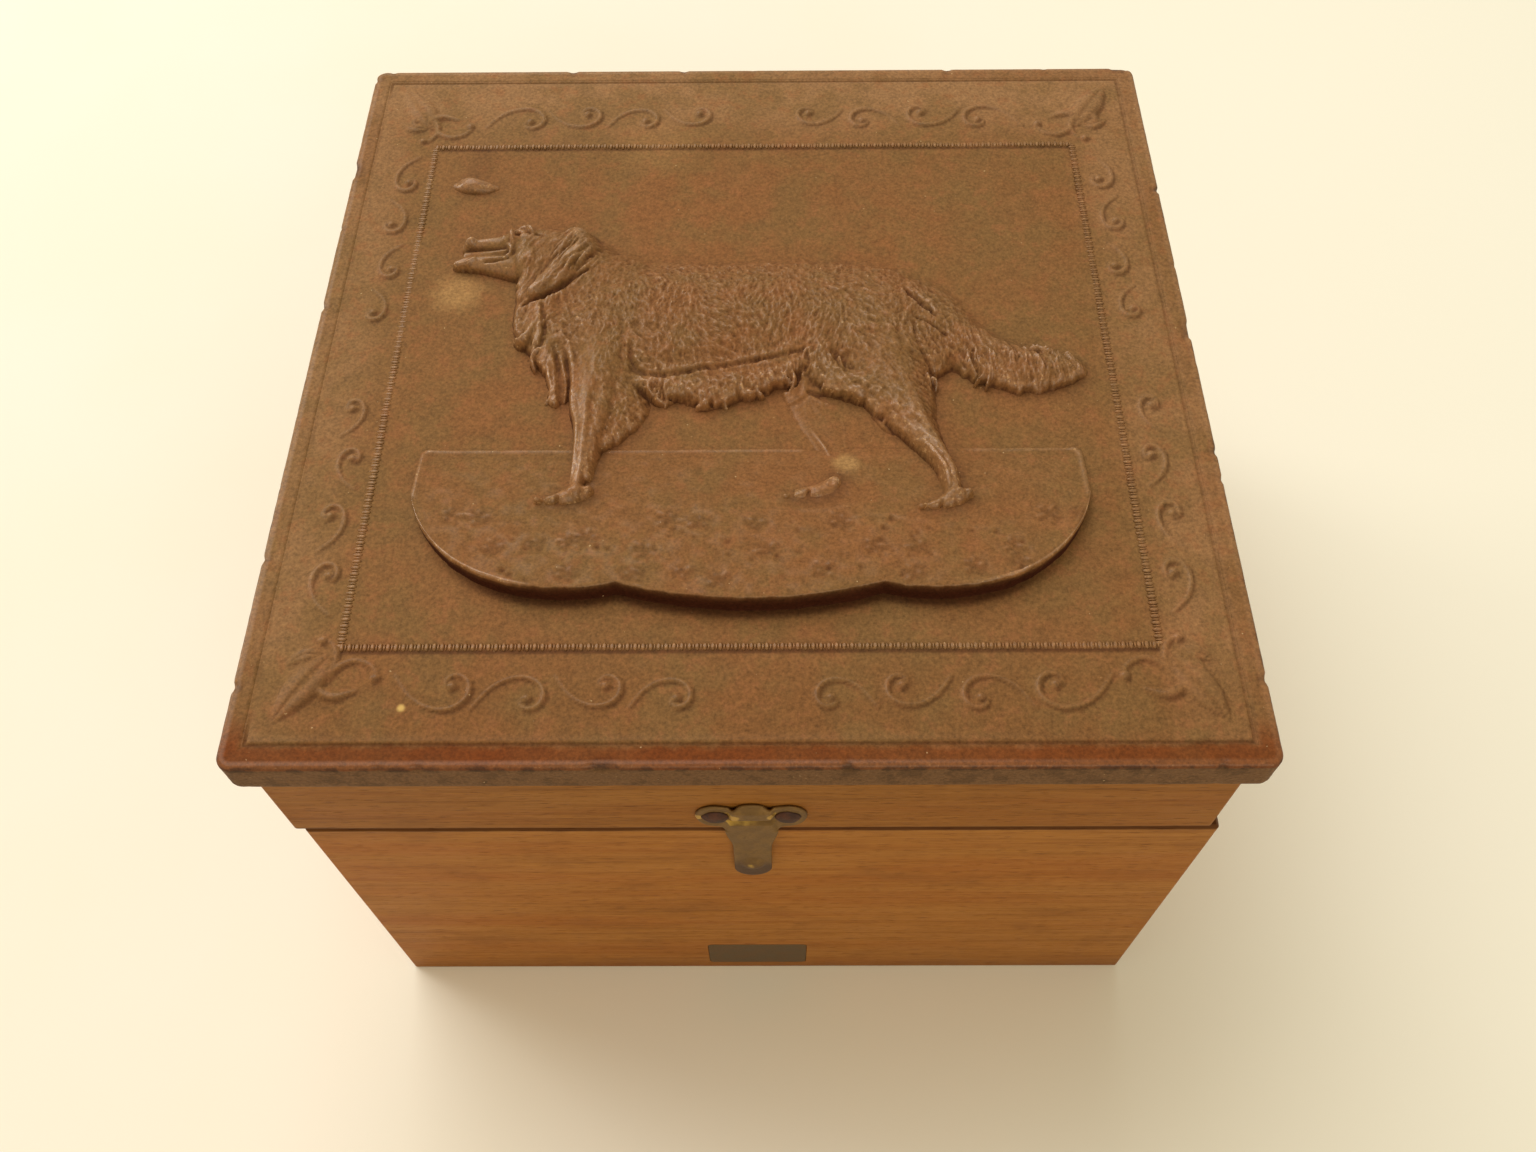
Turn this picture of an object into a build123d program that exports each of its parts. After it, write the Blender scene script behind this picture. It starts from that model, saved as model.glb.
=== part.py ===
from build123d import *
import os

# A square wooden box with a hinged lid. The lid carries a thick moulded plate with a
# border of beads and a standing dog in relief, and a sheet brass hasp hangs over the front.
# Millimetres. The origin is on the floor under the middle of the lid's plate, +X to the
# right, +Y to the hinges, +Z up, so the front of the box faces -Y. The lid is shut.

# The wooden box
box_width = 159.4
box_depth = 159.2
base_height = 84.2
rim_height = 24.0
wall = 7.0
corner_lap = 3.0
corner_ease = 0.8
seam_gap = 0.2
seam_ease = 0.6
foot_ease = 0.4
base_shift = 1.6
edge_tolerance = 0.05

# The thin panels let into the bottom of the base and the top of the lid
bottom_thickness = 5.0
top_board_thickness = 5.0
panel_seat = 3.0
panel_fit = 0.15

# The moulded plate on the lid
plate_width = 164.2
plate_depth = 164.5
plate_thickness = 7.8
plate_corner = 2.4
plate_top_edge = 0.7
plate_under_edge = 1.4
band_width = 4.3
groove_width = 0.8
groove_depth = 0.45
border_side = 16.1
border_front = 21.2
border_back = 24.6
bead_width = 1.3
bead_height = 0.6
bead_slope = 25

# The mound that the dog stands on, measured from the middle of the plate
mound_width = 116.4
mound_back = -21.2
mound_shoulder = -32.4
mound_cheek_x, mound_cheek_y = 53.5, -42.2
mound_heel_x, mound_heel_y = 42.5, -50.2
mound_lobe_x, mound_lobe_y = 32.0, -52.3
mound_cusp_x, mound_cusp_y = 22.0, -51.2
mound_front = -54.4
mound_height = 4.0
mound_crown = 0.7
mound_root = 0.5

# The dog, drawn at its own size from a point on the ground between its feet
dog_length = 118.0
dog_drawn_length = 118.0
dog_middle_x = 1.0
dog_ground_y = -37.0
short_tooth = 0.82
tooth_gap = 0.64

# The two brass butt hinges
hinge_inset = 27.7
leaf_length = 25.0
leaf_depth = 5.6
leaf_thickness = 0.8
leaf_fit = 0.1
knuckle_radius = 1.2
knuckle_count = 3
knuckle_gap = 0.12
knuckle_clearance = 0.15
hinge_pin_radius = 0.6
pin_clearance = 0.05
pin_head_radius = 0.9
pin_head_length = 0.5

# The brass wood screws of the hinges
screws_per_leaf = 2
screw_pitch = 12.4
screw_length = 6.5
screw_tip_length = 1.6
screw_shank_radius = 0.8
screw_head_radius = 1.5
screw_slot_width = 0.4
screw_slot_depth = 0.35
screw_fit = 0.05
countersink_angle = 90

# The sheet brass hasp on the front
hasp_sheet = 0.6
hasp_rise = 0.7
hasp_width = 19.0
hasp_ear_height = 7.6
hasp_crest = 4.4
hasp_dip = 3.1
hasp_middle = 7.2
hasp_root_width = 9.0
hasp_root_level = 2.2
hasp_root_margin = 0.3
hasp_rib_width = 7.2
hasp_rib_margin = 1.0
hasp_shoulder = 0.45
tongue_width = 6.8
tongue_waist_drop = 8.0
tongue_length = 21.8
tongue_gap = 0.2
dome_radius = 2.2
dome_rise = 0.9
dome_from_end = 6.6

# Tacks that hold the hasp, and the stud that its dome rides over
tack_spacing = 12.2
tack_head_radius = 2.0
tack_head_rise = 0.8
tack_shank_radius = 0.6
tack_length = 5.5
tack_fit = 0.05
stud_head_radius = 1.1
stud_shank_radius = 0.6
stud_length = 5.5
stud_clearance = 0.12

# The plain metal plate let into the front board near its foot
front_plate_width = 21.3
front_plate_height = 13.0
front_plate_thickness = 0.8
front_plate_level = 3.6
front_plate_corner = 1.0
front_plate_fit = 0.1

FRONT, BACK = -1, 1
LEFT, RIGHT = -1, 1

# Levels and faces that follow from the sizes above
rim_bottom = base_height + seam_gap
rim_top = rim_bottom + rim_height
plate_top = rim_top + plate_thickness
front_face = -box_depth / 2
back_face = box_depth / 2
panel_width = box_width - 2 * wall + 2 * panel_seat
panel_depth = box_depth - 2 * wall + 2 * panel_seat
hinge_axis_y = back_face + knuckle_radius + knuckle_clearance
hinge_axis_z = base_height + seam_gap / 2
knuckle_length = (leaf_length - (knuckle_count - 1) * knuckle_gap) / knuckle_count
hasp_level = base_height + hasp_middle
hasp_root = base_height + hasp_root_level
hasp_foot = hasp_root + tongue_gap / 2
tongue_end = hasp_root - tongue_length
dome_level = tongue_end + dome_from_end
dog_scale = dog_length / dog_drawn_length

os.makedirs("parts", exist_ok=True)


def save(piece, node):
    """Label a finished piece and write it as a STEP file of its own."""
    piece.label = node
    export_step(piece, f"parts/{node}.step")


# Boards


def lapped_board(facing, centre_x, bottom, height):
    """A front or back board, rabbeted at both ends to cover the ends of the side boards."""
    with BuildPart() as board:
        with BuildSketch(Plane.XY.offset(bottom)):
            with Locations((centre_x, facing * (box_depth - wall) / 2)):
                Rectangle(box_width, wall)
            rabbet_y = facing * (box_depth - corner_lap - wall) / 2
            rabbet_x = (box_width - wall) / 2
            with Locations((centre_x - rabbet_x, rabbet_y), (centre_x + rabbet_x, rabbet_y)):
                Rectangle(wall, wall - corner_lap, mode=Mode.SUBTRACT)
        extrude(amount=height)
        corners = board.edges().filter_by(Axis.Z).sort_by(Axis.Y, reverse=facing == BACK)[:2]
        fillet(corners, corner_ease)
    return board.part


def side_board(side, centre_x, bottom, height):
    """A left or right board, which ends in the rabbets of the front and back boards."""
    with BuildPart() as board:
        with BuildSketch(Plane.XY.offset(bottom)):
            with Locations((centre_x + side * (box_width - wall) / 2, 0)):
                Rectangle(wall, box_depth - 2 * corner_lap)
        extrude(amount=height)
    return board.part


def outside_edges(board, centre_x, level):
    """The edges of a board at one level that run round the outside of the box."""
    near_x = box_width / 2 - corner_ease
    near_y = box_depth / 2 - corner_ease

    def is_outside(edge):
        middle = edge @ 0.5
        at_level = abs(middle.Z - level) < edge_tolerance
        return at_level and (abs(middle.X - centre_x) > near_x or abs(middle.Y) > near_y)

    return board.edges().filter_by(is_outside)


def panel_space(centre_x, bottom, thickness, clearance):
    """The space of a thin panel, wider all round by a clearance."""
    with BuildPart() as space:
        with BuildSketch(Plane.XY.offset(bottom)):
            with Locations((centre_x, 0)):
                Rectangle(panel_width + 2 * clearance, panel_depth + 2 * clearance)
        extrude(amount=thickness)
    return space.part


def base_board(board):
    """A board of the base, with the rabbet for the bottom panel and its edges eased."""
    with BuildPart() as finished:
        add(board)
        add(panel_space(base_shift, 0, bottom_thickness, panel_fit), mode=Mode.SUBTRACT)
        chamfer(outside_edges(finished, base_shift, base_height), seam_ease)
        chamfer(outside_edges(finished, base_shift, 0), foot_ease)
    return finished.part


def lid_rail(board):
    """A rail of the lid, with the rabbet for the top board and its lower edge eased."""
    with BuildPart() as finished:
        add(board)
        rabbet_bottom = rim_top - top_board_thickness
        add(panel_space(0, rabbet_bottom, top_board_thickness, panel_fit), mode=Mode.SUBTRACT)
        chamfer(outside_edges(finished, 0, rim_bottom), seam_ease)
    return finished.part


# Hinges and their screws

hinge_x_right = box_width / 2 - hinge_inset
hinge_places = {"left": -hinge_x_right, "right": hinge_x_right}
screw_row_y = back_face - leaf_depth / 2
screw_starts = [(k - (screws_per_leaf - 1) / 2) * screw_pitch for k in range(screws_per_leaf)]


def knuckle_start(index):
    """Where a knuckle starts along a hinge, measured from the middle of the hinge."""
    return index * (knuckle_length + knuckle_gap) - leaf_length / 2


def hinge_leaf(hinge_x, leaf_bottom, first_knuckle, screw_side):
    """One leaf with every second knuckle, countersunk for its screws."""
    screw_face = leaf_bottom if screw_side < 0 else leaf_bottom + leaf_thickness
    with BuildPart() as leaf:
        with BuildSketch(Plane.XY.offset(leaf_bottom)):
            with Locations((hinge_x, back_face - leaf_depth / 2)):
                Rectangle(leaf_length, leaf_depth)
        extrude(amount=leaf_thickness)
        for index in range(first_knuckle, knuckle_count, 2):
            with BuildSketch(Plane.YZ.offset(hinge_x + knuckle_start(index))):
                with Locations((hinge_axis_y, hinge_axis_z)):
                    Circle(knuckle_radius)
                neck_length = hinge_axis_y - back_face
                with Locations((back_face + neck_length / 2, leaf_bottom + leaf_thickness / 2)):
                    Rectangle(neck_length, leaf_thickness)
                with Locations((hinge_axis_y, hinge_axis_z)):
                    Circle(hinge_pin_radius + pin_clearance, mode=Mode.SUBTRACT)
            extrude(amount=knuckle_length)
        face_plane = Plane((hinge_x, screw_row_y, screw_face), x_dir=(1, 0, 0), z_dir=(0, 0, screw_side))
        with Locations(face_plane):
            with Locations(*[(start, 0) for start in screw_starts]):
                CounterSinkHole(
                    screw_shank_radius + screw_fit,
                    screw_head_radius + screw_fit,
                    leaf_thickness,
                    countersink_angle,
                )
    return leaf.part


def hinge_pin(hinge_x):
    """The hinge's pin, with a small head at each end."""
    with BuildPart() as pin:
        with BuildSketch(Plane.YZ.offset(hinge_x - leaf_length / 2)):
            with Locations((hinge_axis_y, hinge_axis_z)):
                Circle(hinge_pin_radius)
        extrude(amount=leaf_length)
        for end in (LEFT, RIGHT):
            head_x = hinge_x + end * (leaf_length / 2 + pin_clearance)
            with BuildSketch(Plane.YZ.offset(head_x)):
                with Locations((hinge_axis_y, hinge_axis_z)):
                    Circle(pin_head_radius)
            extrude(amount=end * pin_head_length)
            with BuildSketch(Plane.YZ.offset(hinge_x + end * leaf_length / 2)):
                with Locations((hinge_axis_y, hinge_axis_z)):
                    Circle(hinge_pin_radius)
            extrude(amount=end * pin_clearance)
    return pin.part


def wood_screw():
    """A screw that points down, with the top of its right-angled head at the origin."""
    head_depth = screw_head_radius - screw_shank_radius
    tip_start = screw_tip_length - screw_length
    with BuildPart() as screw:
        with BuildSketch(Plane.XZ):
            with BuildLine():
                Polyline(
                    (0, 0),
                    (screw_head_radius, 0),
                    (screw_shank_radius, -head_depth),
                    (screw_shank_radius, tip_start),
                    (0, -screw_length),
                    close=True,
                )
            make_face()
        revolve(axis=Axis.Z)
        with Locations((0, 0, -screw_slot_depth / 2)):
            Box(2 * screw_head_radius, screw_slot_width, screw_slot_depth, mode=Mode.SUBTRACT)
    return screw.part


def leaf_seats(seat_bottom):
    """The shallow beds that both hinges' leaves lie in, open at the back."""
    with BuildPart() as seats:
        with BuildSketch(Plane.XY.offset(seat_bottom)):
            bed_depth = leaf_depth + leaf_fit
            with Locations(*[(x, back_face - bed_depth / 2) for x in hinge_places.values()]):
                Rectangle(leaf_length + 2 * leaf_fit, bed_depth)
        extrude(amount=leaf_thickness)
    return seats.part


def screw_holes(level, direction):
    """The holes in the wood for the screws of both hinges, from the level of their heads."""
    with BuildPart() as holes:
        with BuildSketch(Plane.XY.offset(level)):
            screw_row = [x + start for x in hinge_places.values() for start in screw_starts]
            with Locations(*[(x, screw_row_y) for x in screw_row]):
                Circle(screw_shank_radius + screw_fit)
        extrude(amount=direction * (screw_length + screw_fit))
    return holes.part


# Round-headed tacks and the spherical cap that their heads and the hasp's dome share


def cap_height_radius(foot_radius, rise):
    """The radius of the sphere whose cap has this foot radius and rise."""
    return (foot_radius**2 + rise**2) / (2 * rise)


def front_cap(x, level, foot_y, foot_radius, rise):
    """A spherical cap that stands out of a face towards the front."""
    with BuildPart() as cap:
        with BuildSketch(Plane.XY.offset(level)):
            with BuildLine():
                Line((x, foot_y), (x + foot_radius, foot_y))
                RadiusArc(
                    (x + foot_radius, foot_y),
                    (x, foot_y - rise),
                    cap_height_radius(foot_radius, rise),
                )
                Line((x, foot_y - rise), (x, foot_y))
            make_face()
        revolve(axis=Axis((x, 0, level), (0, 1, 0)))
    return cap.part


def front_rod(x, level, start_y, radius, length):
    """A round rod that runs from a face into the wood, towards the back."""
    with BuildPart() as rod:
        with BuildSketch(Plane.XZ.offset(-start_y)):
            with Locations((x, level)):
                Circle(radius)
        extrude(amount=-length)
    return rod.part


# The raised middle of the hasp


def hasp_rib(inset, height):
    """The hasp's raised middle, widest at its foot, made smaller all round by an inset."""
    rib_half = hasp_rib_width / 2 - inset
    root_half = hasp_root_width / 2 - inset
    rib_top = hasp_level + hasp_crest - hasp_rib_margin - inset
    with BuildPart() as rib:
        with BuildSketch(Plane.XZ.offset(-front_face)):
            with BuildLine():
                Line((0, hasp_foot), (root_half, hasp_foot))
                Spline((root_half, hasp_foot), (rib_half, hasp_level), tangents=((0, 1), (0, 1)))
                Spline((rib_half, hasp_level), (0, rib_top), tangents=((0, 1), (-1, 0)))
                mirror(about=Plane.YZ)
            make_face()
        extrude(amount=height)
    return rib.part


# The figure on the plate


def on_plate(x, y):
    """A point of the dog's drawing, moved to its place on the plate."""
    return (dog_middle_x + x * dog_scale, dog_ground_y + y * dog_scale)


def relief_mass(stations):
    """A rounded mass that swells and tapers along its spine, half sunk in the plate.

    Each station is a point of the drawing with the mass's half width and height there.
    """
    with BuildPart() as mass:
        for index, (x, y, half_width, height) in enumerate(stations):
            before = stations[max(index - 1, 0)]
            after = stations[min(index + 1, len(stations) - 1)]
            along = Vector(after[0] - before[0], after[1] - before[1], 0)
            place = on_plate(x, y)
            across = Plane((place[0], place[1], plate_top), x_dir=along.cross(Vector(0, 0, 1)), z_dir=along)
            with BuildSketch(across):
                Ellipse(half_width * dog_scale, height * dog_scale)
        loft()
    return mass.part


def mound_side(side):
    """The two arcs of the mound's edge on one side, from its shoulder to the cusp."""
    shoulder = (side * mound_width / 2, mound_shoulder)
    heel = (side * mound_heel_x, mound_heel_y)
    ThreePointArc(shoulder, (side * mound_cheek_x, mound_cheek_y), heel)
    ThreePointArc(heel, (side * mound_lobe_x, mound_lobe_y), (side * mound_cusp_x, mound_cusp_y))


def mound():
    """The ground under the dog: a scalloped slab that rises from the plate to its front."""
    half = mound_width / 2
    middle_y = (mound_back + mound_front) / 2
    root_level = plate_top - mound_root
    with BuildPart() as ground:
        with BuildSketch(Plane.XY.offset(root_level)):
            with BuildLine():
                Polyline(
                    (-half, mound_shoulder),
                    (-half, mound_back),
                    (half, mound_back),
                    (half, mound_shoulder),
                )
                mound_side(LEFT)
                mound_side(RIGHT)
                ThreePointArc((-mound_cusp_x, mound_cusp_y), (0, mound_front), (mound_cusp_x, mound_cusp_y))
            make_face()
        extrude(amount=mound_root + mound_height + mound_crown)
        with BuildSketch(Plane.YZ):
            with BuildLine():
                ThreePointArc(
                    (mound_back, plate_top),
                    (middle_y, plate_top + mound_height / 2 + mound_crown),
                    (mound_front, plate_top + mound_height),
                )
                Polyline(
                    (mound_front, plate_top + mound_height),
                    (mound_front, root_level),
                    (mound_back, root_level),
                    (mound_back, plate_top),
                )
            make_face()
        extrude(amount=half, both=True, mode=Mode.INTERSECT)
    return ground.part


def fringe(start, end, drop, lean, teeth, height):
    """A ragged band of hair ends that hangs from a line of the drawing.

    Long and short teeth take turns. A long tooth's tip is a whole drop below the line and
    moved along by the lean, and each gap between two teeth is at a share of the drop.
    """
    line_start, line_end = Vector(*start), Vector(*end)
    pitch = (line_end - line_start) / teeth
    down = Vector(0, -drop)
    ragged = []
    for tooth in range(teeth):
        reach = 1 if tooth % 2 == 0 else short_tooth
        ragged.append(line_start + pitch * (tooth + lean) + down * reach)
        ragged.append(line_start + pitch * (tooth + 1) + down * tooth_gap)
    outline = [line_start, *ragged, line_end]
    with BuildPart() as band:
        with BuildSketch(Plane.XY.offset(plate_top - mound_root)):
            with BuildLine():
                Polyline(*[on_plate(point.X, point.Y) for point in outline], close=True)
            make_face()
        extrude(amount=(mound_root + height) * dog_scale)
    return band.part


dog_masses = {
    "trunk": [
        (-39, 47, 8, 2.6),
        (-29, 45.5, 13.5, 4.8),
        (-15, 46.5, 12.5, 5.3),
        (0, 47.5, 11.8, 5.0),
        (12, 46.5, 13, 5.4),
        (23, 44, 14.5, 5.9),
        (32, 42, 10.5, 4.0),
        (36, 41, 5, 2.0),
    ],
    "neck": [(-27, 50, 12, 4.0), (-35, 56, 9, 5.2), (-41, 63, 7.0, 5.2), (-46, 66, 4.0, 3.6)],
    "muzzle": [(-43, 65, 4.6, 4.6), (-50, 65, 3.0, 4.2), (-56, 64.3, 2.2, 3.6), (-57.8, 64, 1.2, 2.2)],
    "jaw": [(-42, 57.5, 3.8, 3.8), (-50, 59, 2.0, 3.0), (-56, 59.4, 1.2, 2.2), (-58.6, 59.6, 0.6, 1.2)],
    "ear": [(-34.5, 64, 4, 5.6), (-34.5, 59.5, 6, 6.4), (-37.5, 53.5, 5.4, 6.4), (-41, 49.5, 2.8, 5.4)],
    "breast": [(-37, 54, 4, 3.6), (-40, 46, 4.6, 3.6), (-39, 36, 3.8, 3.4), (-37, 27, 1.4, 2.4)],
    "fore_leg": [
        (-29.5, 42, 7.5, 4.8),
        (-30, 31, 5, 4.7),
        (-30.3, 20, 2.4, 4.5),
        (-30.6, 9, 1.9, 4.6),
        (-31, 3, 2.2, 4.6),
    ],
    "thigh": [
        (23, 40, 12, 6.0),
        (23.5, 30, 8.8, 5.6),
        (27.5, 20.5, 4.6, 4.9),
        (31.5, 12, 2.8, 4.6),
        (34.6, 4.5, 1.9, 4.7),
    ],
    "far_leg": [
        (8, 32, 5.5, 3.2),
        (10, 24, 4.6, 3.0),
        (12.5, 18, 2.8, 3.0),
        (15, 13, 1.9, 3.0),
        (13.5, 7, 1.8, 3.3),
    ],
    "tail": [
        (29, 52, 3.6, 3.6),
        (35.5, 42.5, 5, 4.2),
        (44, 34.5, 6.4, 4.4),
        (52, 31.5, 5.6, 4.0),
        (58, 30.8, 3.4, 2.8),
    ],
    "fore_paw": [(-28, 3.2, 1.4, 4.6), (-31, 2.4, 2.5, 5.5), (-35, 1.7, 2.4, 5.2), (-38.4, 1.2, 1.2, 4.0)],
    "hind_paw": [(37, 2.6, 1.4, 4.6), (33.5, 1.8, 2.5, 5.5), (30, 1, 2.4, 5.2), (26.6, 0.6, 1.2, 4.0)],
    "far_paw": [(14.6, 6, 1.2, 3.4), (11.5, 5, 2.2, 4.3), (7.5, 4.4, 2.0, 4.1), (4, 4, 1.0, 3.1)],
    "bump": [(-61, 83, 1.0, 0.6), (-58.5, 83, 2.4, 1.9), (-55, 82.6, 1.9, 1.3), (-52.5, 82.4, 0.6, 0.4)],
}

# Each fringe hangs from a line, with its drop, the lean and count of its teeth and its height
dog_fringes = {
    "belly": ((-26, 37), (14, 36), 12, 0.7, 13, 3.2),
    "fore_feather": ((-30.5, 30), (-19.5, 38), 16, 0.3, 5, 3.55),
    "breeches": ((22, 33), (35.5, 38), 15, 0.8, 5, 3.8),
    "tail_hair": ((34, 40), (60.5, 32), 9.5, 0.9, 9, 2.5),
}


# The base

with BuildPart() as base_front_board:
    add(base_board(lapped_board(FRONT, base_shift, 0, base_height)))
    with BuildSketch(Plane.XZ.offset(-front_face)):
        with Locations((0, front_plate_level + front_plate_height / 2)):
            RectangleRounded(
                front_plate_width + 2 * front_plate_fit,
                front_plate_height + 2 * front_plate_fit,
                front_plate_corner + front_plate_fit,
            )
    extrude(amount=-front_plate_thickness, mode=Mode.SUBTRACT)
    stud_hole_length = stud_length + stud_clearance
    add(
        front_rod(0, dome_level, front_face, stud_shank_radius + tack_fit, stud_hole_length),
        mode=Mode.SUBTRACT,
    )
save(base_front_board.part, "base_front_board")

with BuildPart() as base_back_board:
    add(base_board(lapped_board(BACK, base_shift, 0, base_height)))
    add(leaf_seats(base_height - leaf_thickness), mode=Mode.SUBTRACT)
    add(screw_holes(base_height, -1), mode=Mode.SUBTRACT)
save(base_back_board.part, "base_back_board")

for side, name in ((LEFT, "left"), (RIGHT, "right")):
    save(base_board(side_board(side, base_shift, 0, base_height)), f"base_{name}_board")

save(panel_space(base_shift, 0, bottom_thickness, 0), "base_bottom_panel")

with BuildPart() as front_plate:
    with BuildSketch(Plane.XZ.offset(-front_face)):
        with Locations((0, front_plate_level + front_plate_height / 2)):
            RectangleRounded(front_plate_width, front_plate_height, front_plate_corner)
    extrude(amount=-front_plate_thickness)
save(front_plate.part, "front_plate")

with BuildPart() as catch_stud:
    stud_rise = hasp_rise - stud_clearance
    add(front_cap(0, dome_level, front_face, stud_head_radius, stud_rise))
    add(front_rod(0, dome_level, front_face, stud_shank_radius, stud_length))
save(catch_stud.part, "catch_stud")

# The lid's frame

with BuildPart() as lid_front_rail:
    add(lid_rail(lapped_board(FRONT, 0, rim_bottom, rim_height)))
    for side in (LEFT, RIGHT):
        tack_x = side * tack_spacing / 2
        tack_hole = front_rod(tack_x, hasp_level, front_face, tack_shank_radius + tack_fit, tack_length)
        add(tack_hole, mode=Mode.SUBTRACT)
save(lid_front_rail.part, "lid_front_rail")

with BuildPart() as lid_back_rail:
    add(lid_rail(lapped_board(BACK, 0, rim_bottom, rim_height)))
    add(leaf_seats(rim_bottom), mode=Mode.SUBTRACT)
    add(screw_holes(rim_bottom, 1), mode=Mode.SUBTRACT)
save(lid_back_rail.part, "lid_back_rail")

for side, name in ((LEFT, "left"), (RIGHT, "right")):
    save(lid_rail(side_board(side, 0, rim_bottom, rim_height)), f"lid_{name}_rail")

save(panel_space(0, rim_top - top_board_thickness, top_board_thickness, 0), "lid_top_board")

# The moulded plate

with BuildPart() as relief_plate:
    with BuildSketch(Plane.XY.offset(rim_top)):
        RectangleRounded(plate_width, plate_depth, plate_corner)
    extrude(amount=plate_thickness)
    fillet(relief_plate.faces().sort_by(Axis.Z)[0].edges(), plate_under_edge)
    fillet(relief_plate.faces().sort_by(Axis.Z)[-1].edges(), plate_top_edge)
    with BuildSketch(Plane.XY.offset(plate_top)):
        groove_side = 2 * band_width + 2 * groove_width
        Rectangle(plate_width - 2 * band_width, plate_depth - 2 * band_width)
        Rectangle(plate_width - groove_side, plate_depth - groove_side, mode=Mode.SUBTRACT)
    extrude(amount=-groove_depth, mode=Mode.SUBTRACT)
    with BuildSketch(Plane.XY.offset(plate_top)):
        with Locations((0, (border_front - border_back) / 2)):
            frame_width = plate_width - 2 * border_side
            frame_depth = plate_depth - border_front - border_back
            Rectangle(frame_width + bead_width, frame_depth + bead_width)
            Rectangle(frame_width - bead_width, frame_depth - bead_width, mode=Mode.SUBTRACT)
    extrude(amount=bead_height, taper=bead_slope)
    add(mound())
    for stations in dog_masses.values():
        add(relief_mass(stations))
    for hair in dog_fringes.values():
        add(fringe(*hair))
save(relief_plate.part, "relief_plate")

# The hasp

with BuildPart() as hasp_plate:
    with BuildSketch(Plane.XZ.offset(-front_face)):
        ear_x = tack_spacing / 2
        ear_top = hasp_level + hasp_ear_height / 2
        ear_foot = hasp_level - hasp_ear_height / 2
        foot_half = hasp_root_width / 2 + hasp_root_margin
        with BuildLine():
            Spline(
                (0, hasp_level + hasp_crest),
                (ear_x / 2, hasp_level + hasp_dip),
                (ear_x, ear_top),
                tangents=((1, 0), (1, 0)),
            )
            ThreePointArc((ear_x, ear_top), (hasp_width / 2, hasp_level), (ear_x, ear_foot))
            Spline((ear_x, ear_foot), (foot_half, hasp_foot), tangents=((-1, 0), (0, -1)))
            Line((foot_half, hasp_foot), (0, hasp_foot))
            mirror(about=Plane.YZ)
        make_face()
        with Locations((-ear_x, hasp_level), (ear_x, hasp_level)):
            Circle(tack_shank_radius + tack_fit, mode=Mode.SUBTRACT)
    extrude(amount=hasp_sheet)
    add(hasp_rib(0, hasp_sheet + hasp_rise))
    ridge = hasp_plate.faces().sort_by(Axis.Y)[0]
    fillet(ridge.edges().sort_by(Axis.Z)[1:], hasp_shoulder)
    add(hasp_rib(hasp_sheet, hasp_rise), mode=Mode.SUBTRACT)
save(hasp_plate.part, "hasp_plate")

with BuildPart() as hasp_tongue:
    tongue_back = -front_face + hasp_rise
    with BuildSketch(Plane.XZ.offset(tongue_back)):
        tongue_top = hasp_root - tongue_gap / 2
        waist = tongue_top - tongue_waist_drop
        tip_half = tongue_width / 2
        tip_start = tongue_end + tip_half
        with BuildLine():
            Line((0, tongue_top), (hasp_root_width / 2, tongue_top))
            Spline(
                (hasp_root_width / 2, tongue_top),
                (tip_half, waist),
                tangents=((0, -1), (0, -1)),
            )
            Line((tip_half, waist), (tip_half, tip_start))
            RadiusArc((tip_half, tip_start), (0, tongue_end), tip_half)
            mirror(about=Plane.YZ)
        make_face()
    extrude(amount=hasp_sheet)
    add(front_cap(0, dome_level, -(tongue_back + hasp_sheet), dome_radius, dome_rise))
    hollow_radius = dome_radius - hasp_sheet / 2
    add(front_cap(0, dome_level, -tongue_back, hollow_radius, dome_rise), mode=Mode.SUBTRACT)
save(hasp_tongue.part, "hasp_tongue")

with BuildPart() as hasp_tacks:
    for side in (LEFT, RIGHT):
        tack_x = side * tack_spacing / 2
        head_y = front_face - hasp_sheet
        add(front_cap(tack_x, hasp_level, head_y, tack_head_radius, tack_head_rise))
        add(front_rod(tack_x, hasp_level, head_y, tack_shank_radius, tack_length))
save(hasp_tacks.part, "hasp_tacks")

# The hinges

screw = wood_screw()
base_leaf_bottom = base_height - leaf_thickness
for name, hinge_x in hinge_places.items():
    save(hinge_leaf(hinge_x, base_leaf_bottom, 0, 1), f"{name}_hinge_base_leaf")
    save(hinge_leaf(hinge_x, rim_bottom, 1, -1), f"{name}_hinge_lid_leaf")
    save(hinge_pin(hinge_x), f"{name}_hinge_pin")
    with BuildPart() as base_screws:
        with Locations(*[(hinge_x + start, screw_row_y, base_height) for start in screw_starts]):
            add(screw)
    save(base_screws.part, f"{name}_hinge_base_screws")
    with BuildPart() as lid_screws:
        with Locations(*[(hinge_x + start, screw_row_y, rim_bottom) for start in screw_starts]):
            add(screw, rotation=(180, 0, 0))
    save(lid_screws.part, f"{name}_hinge_lid_screws")
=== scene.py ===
"""The looks of a square wooden box with a hinged lid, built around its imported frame.

A thick moulded plate with a standing dog in relief covers the lid, and a sheet brass hasp
hangs over the front. Sizes are in millimetres until a mesh is made, and then in metres.
"""

from __future__ import annotations

import logging
import math
from dataclasses import dataclass, field
from enum import Enum
from typing import Any, Sequence

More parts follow.
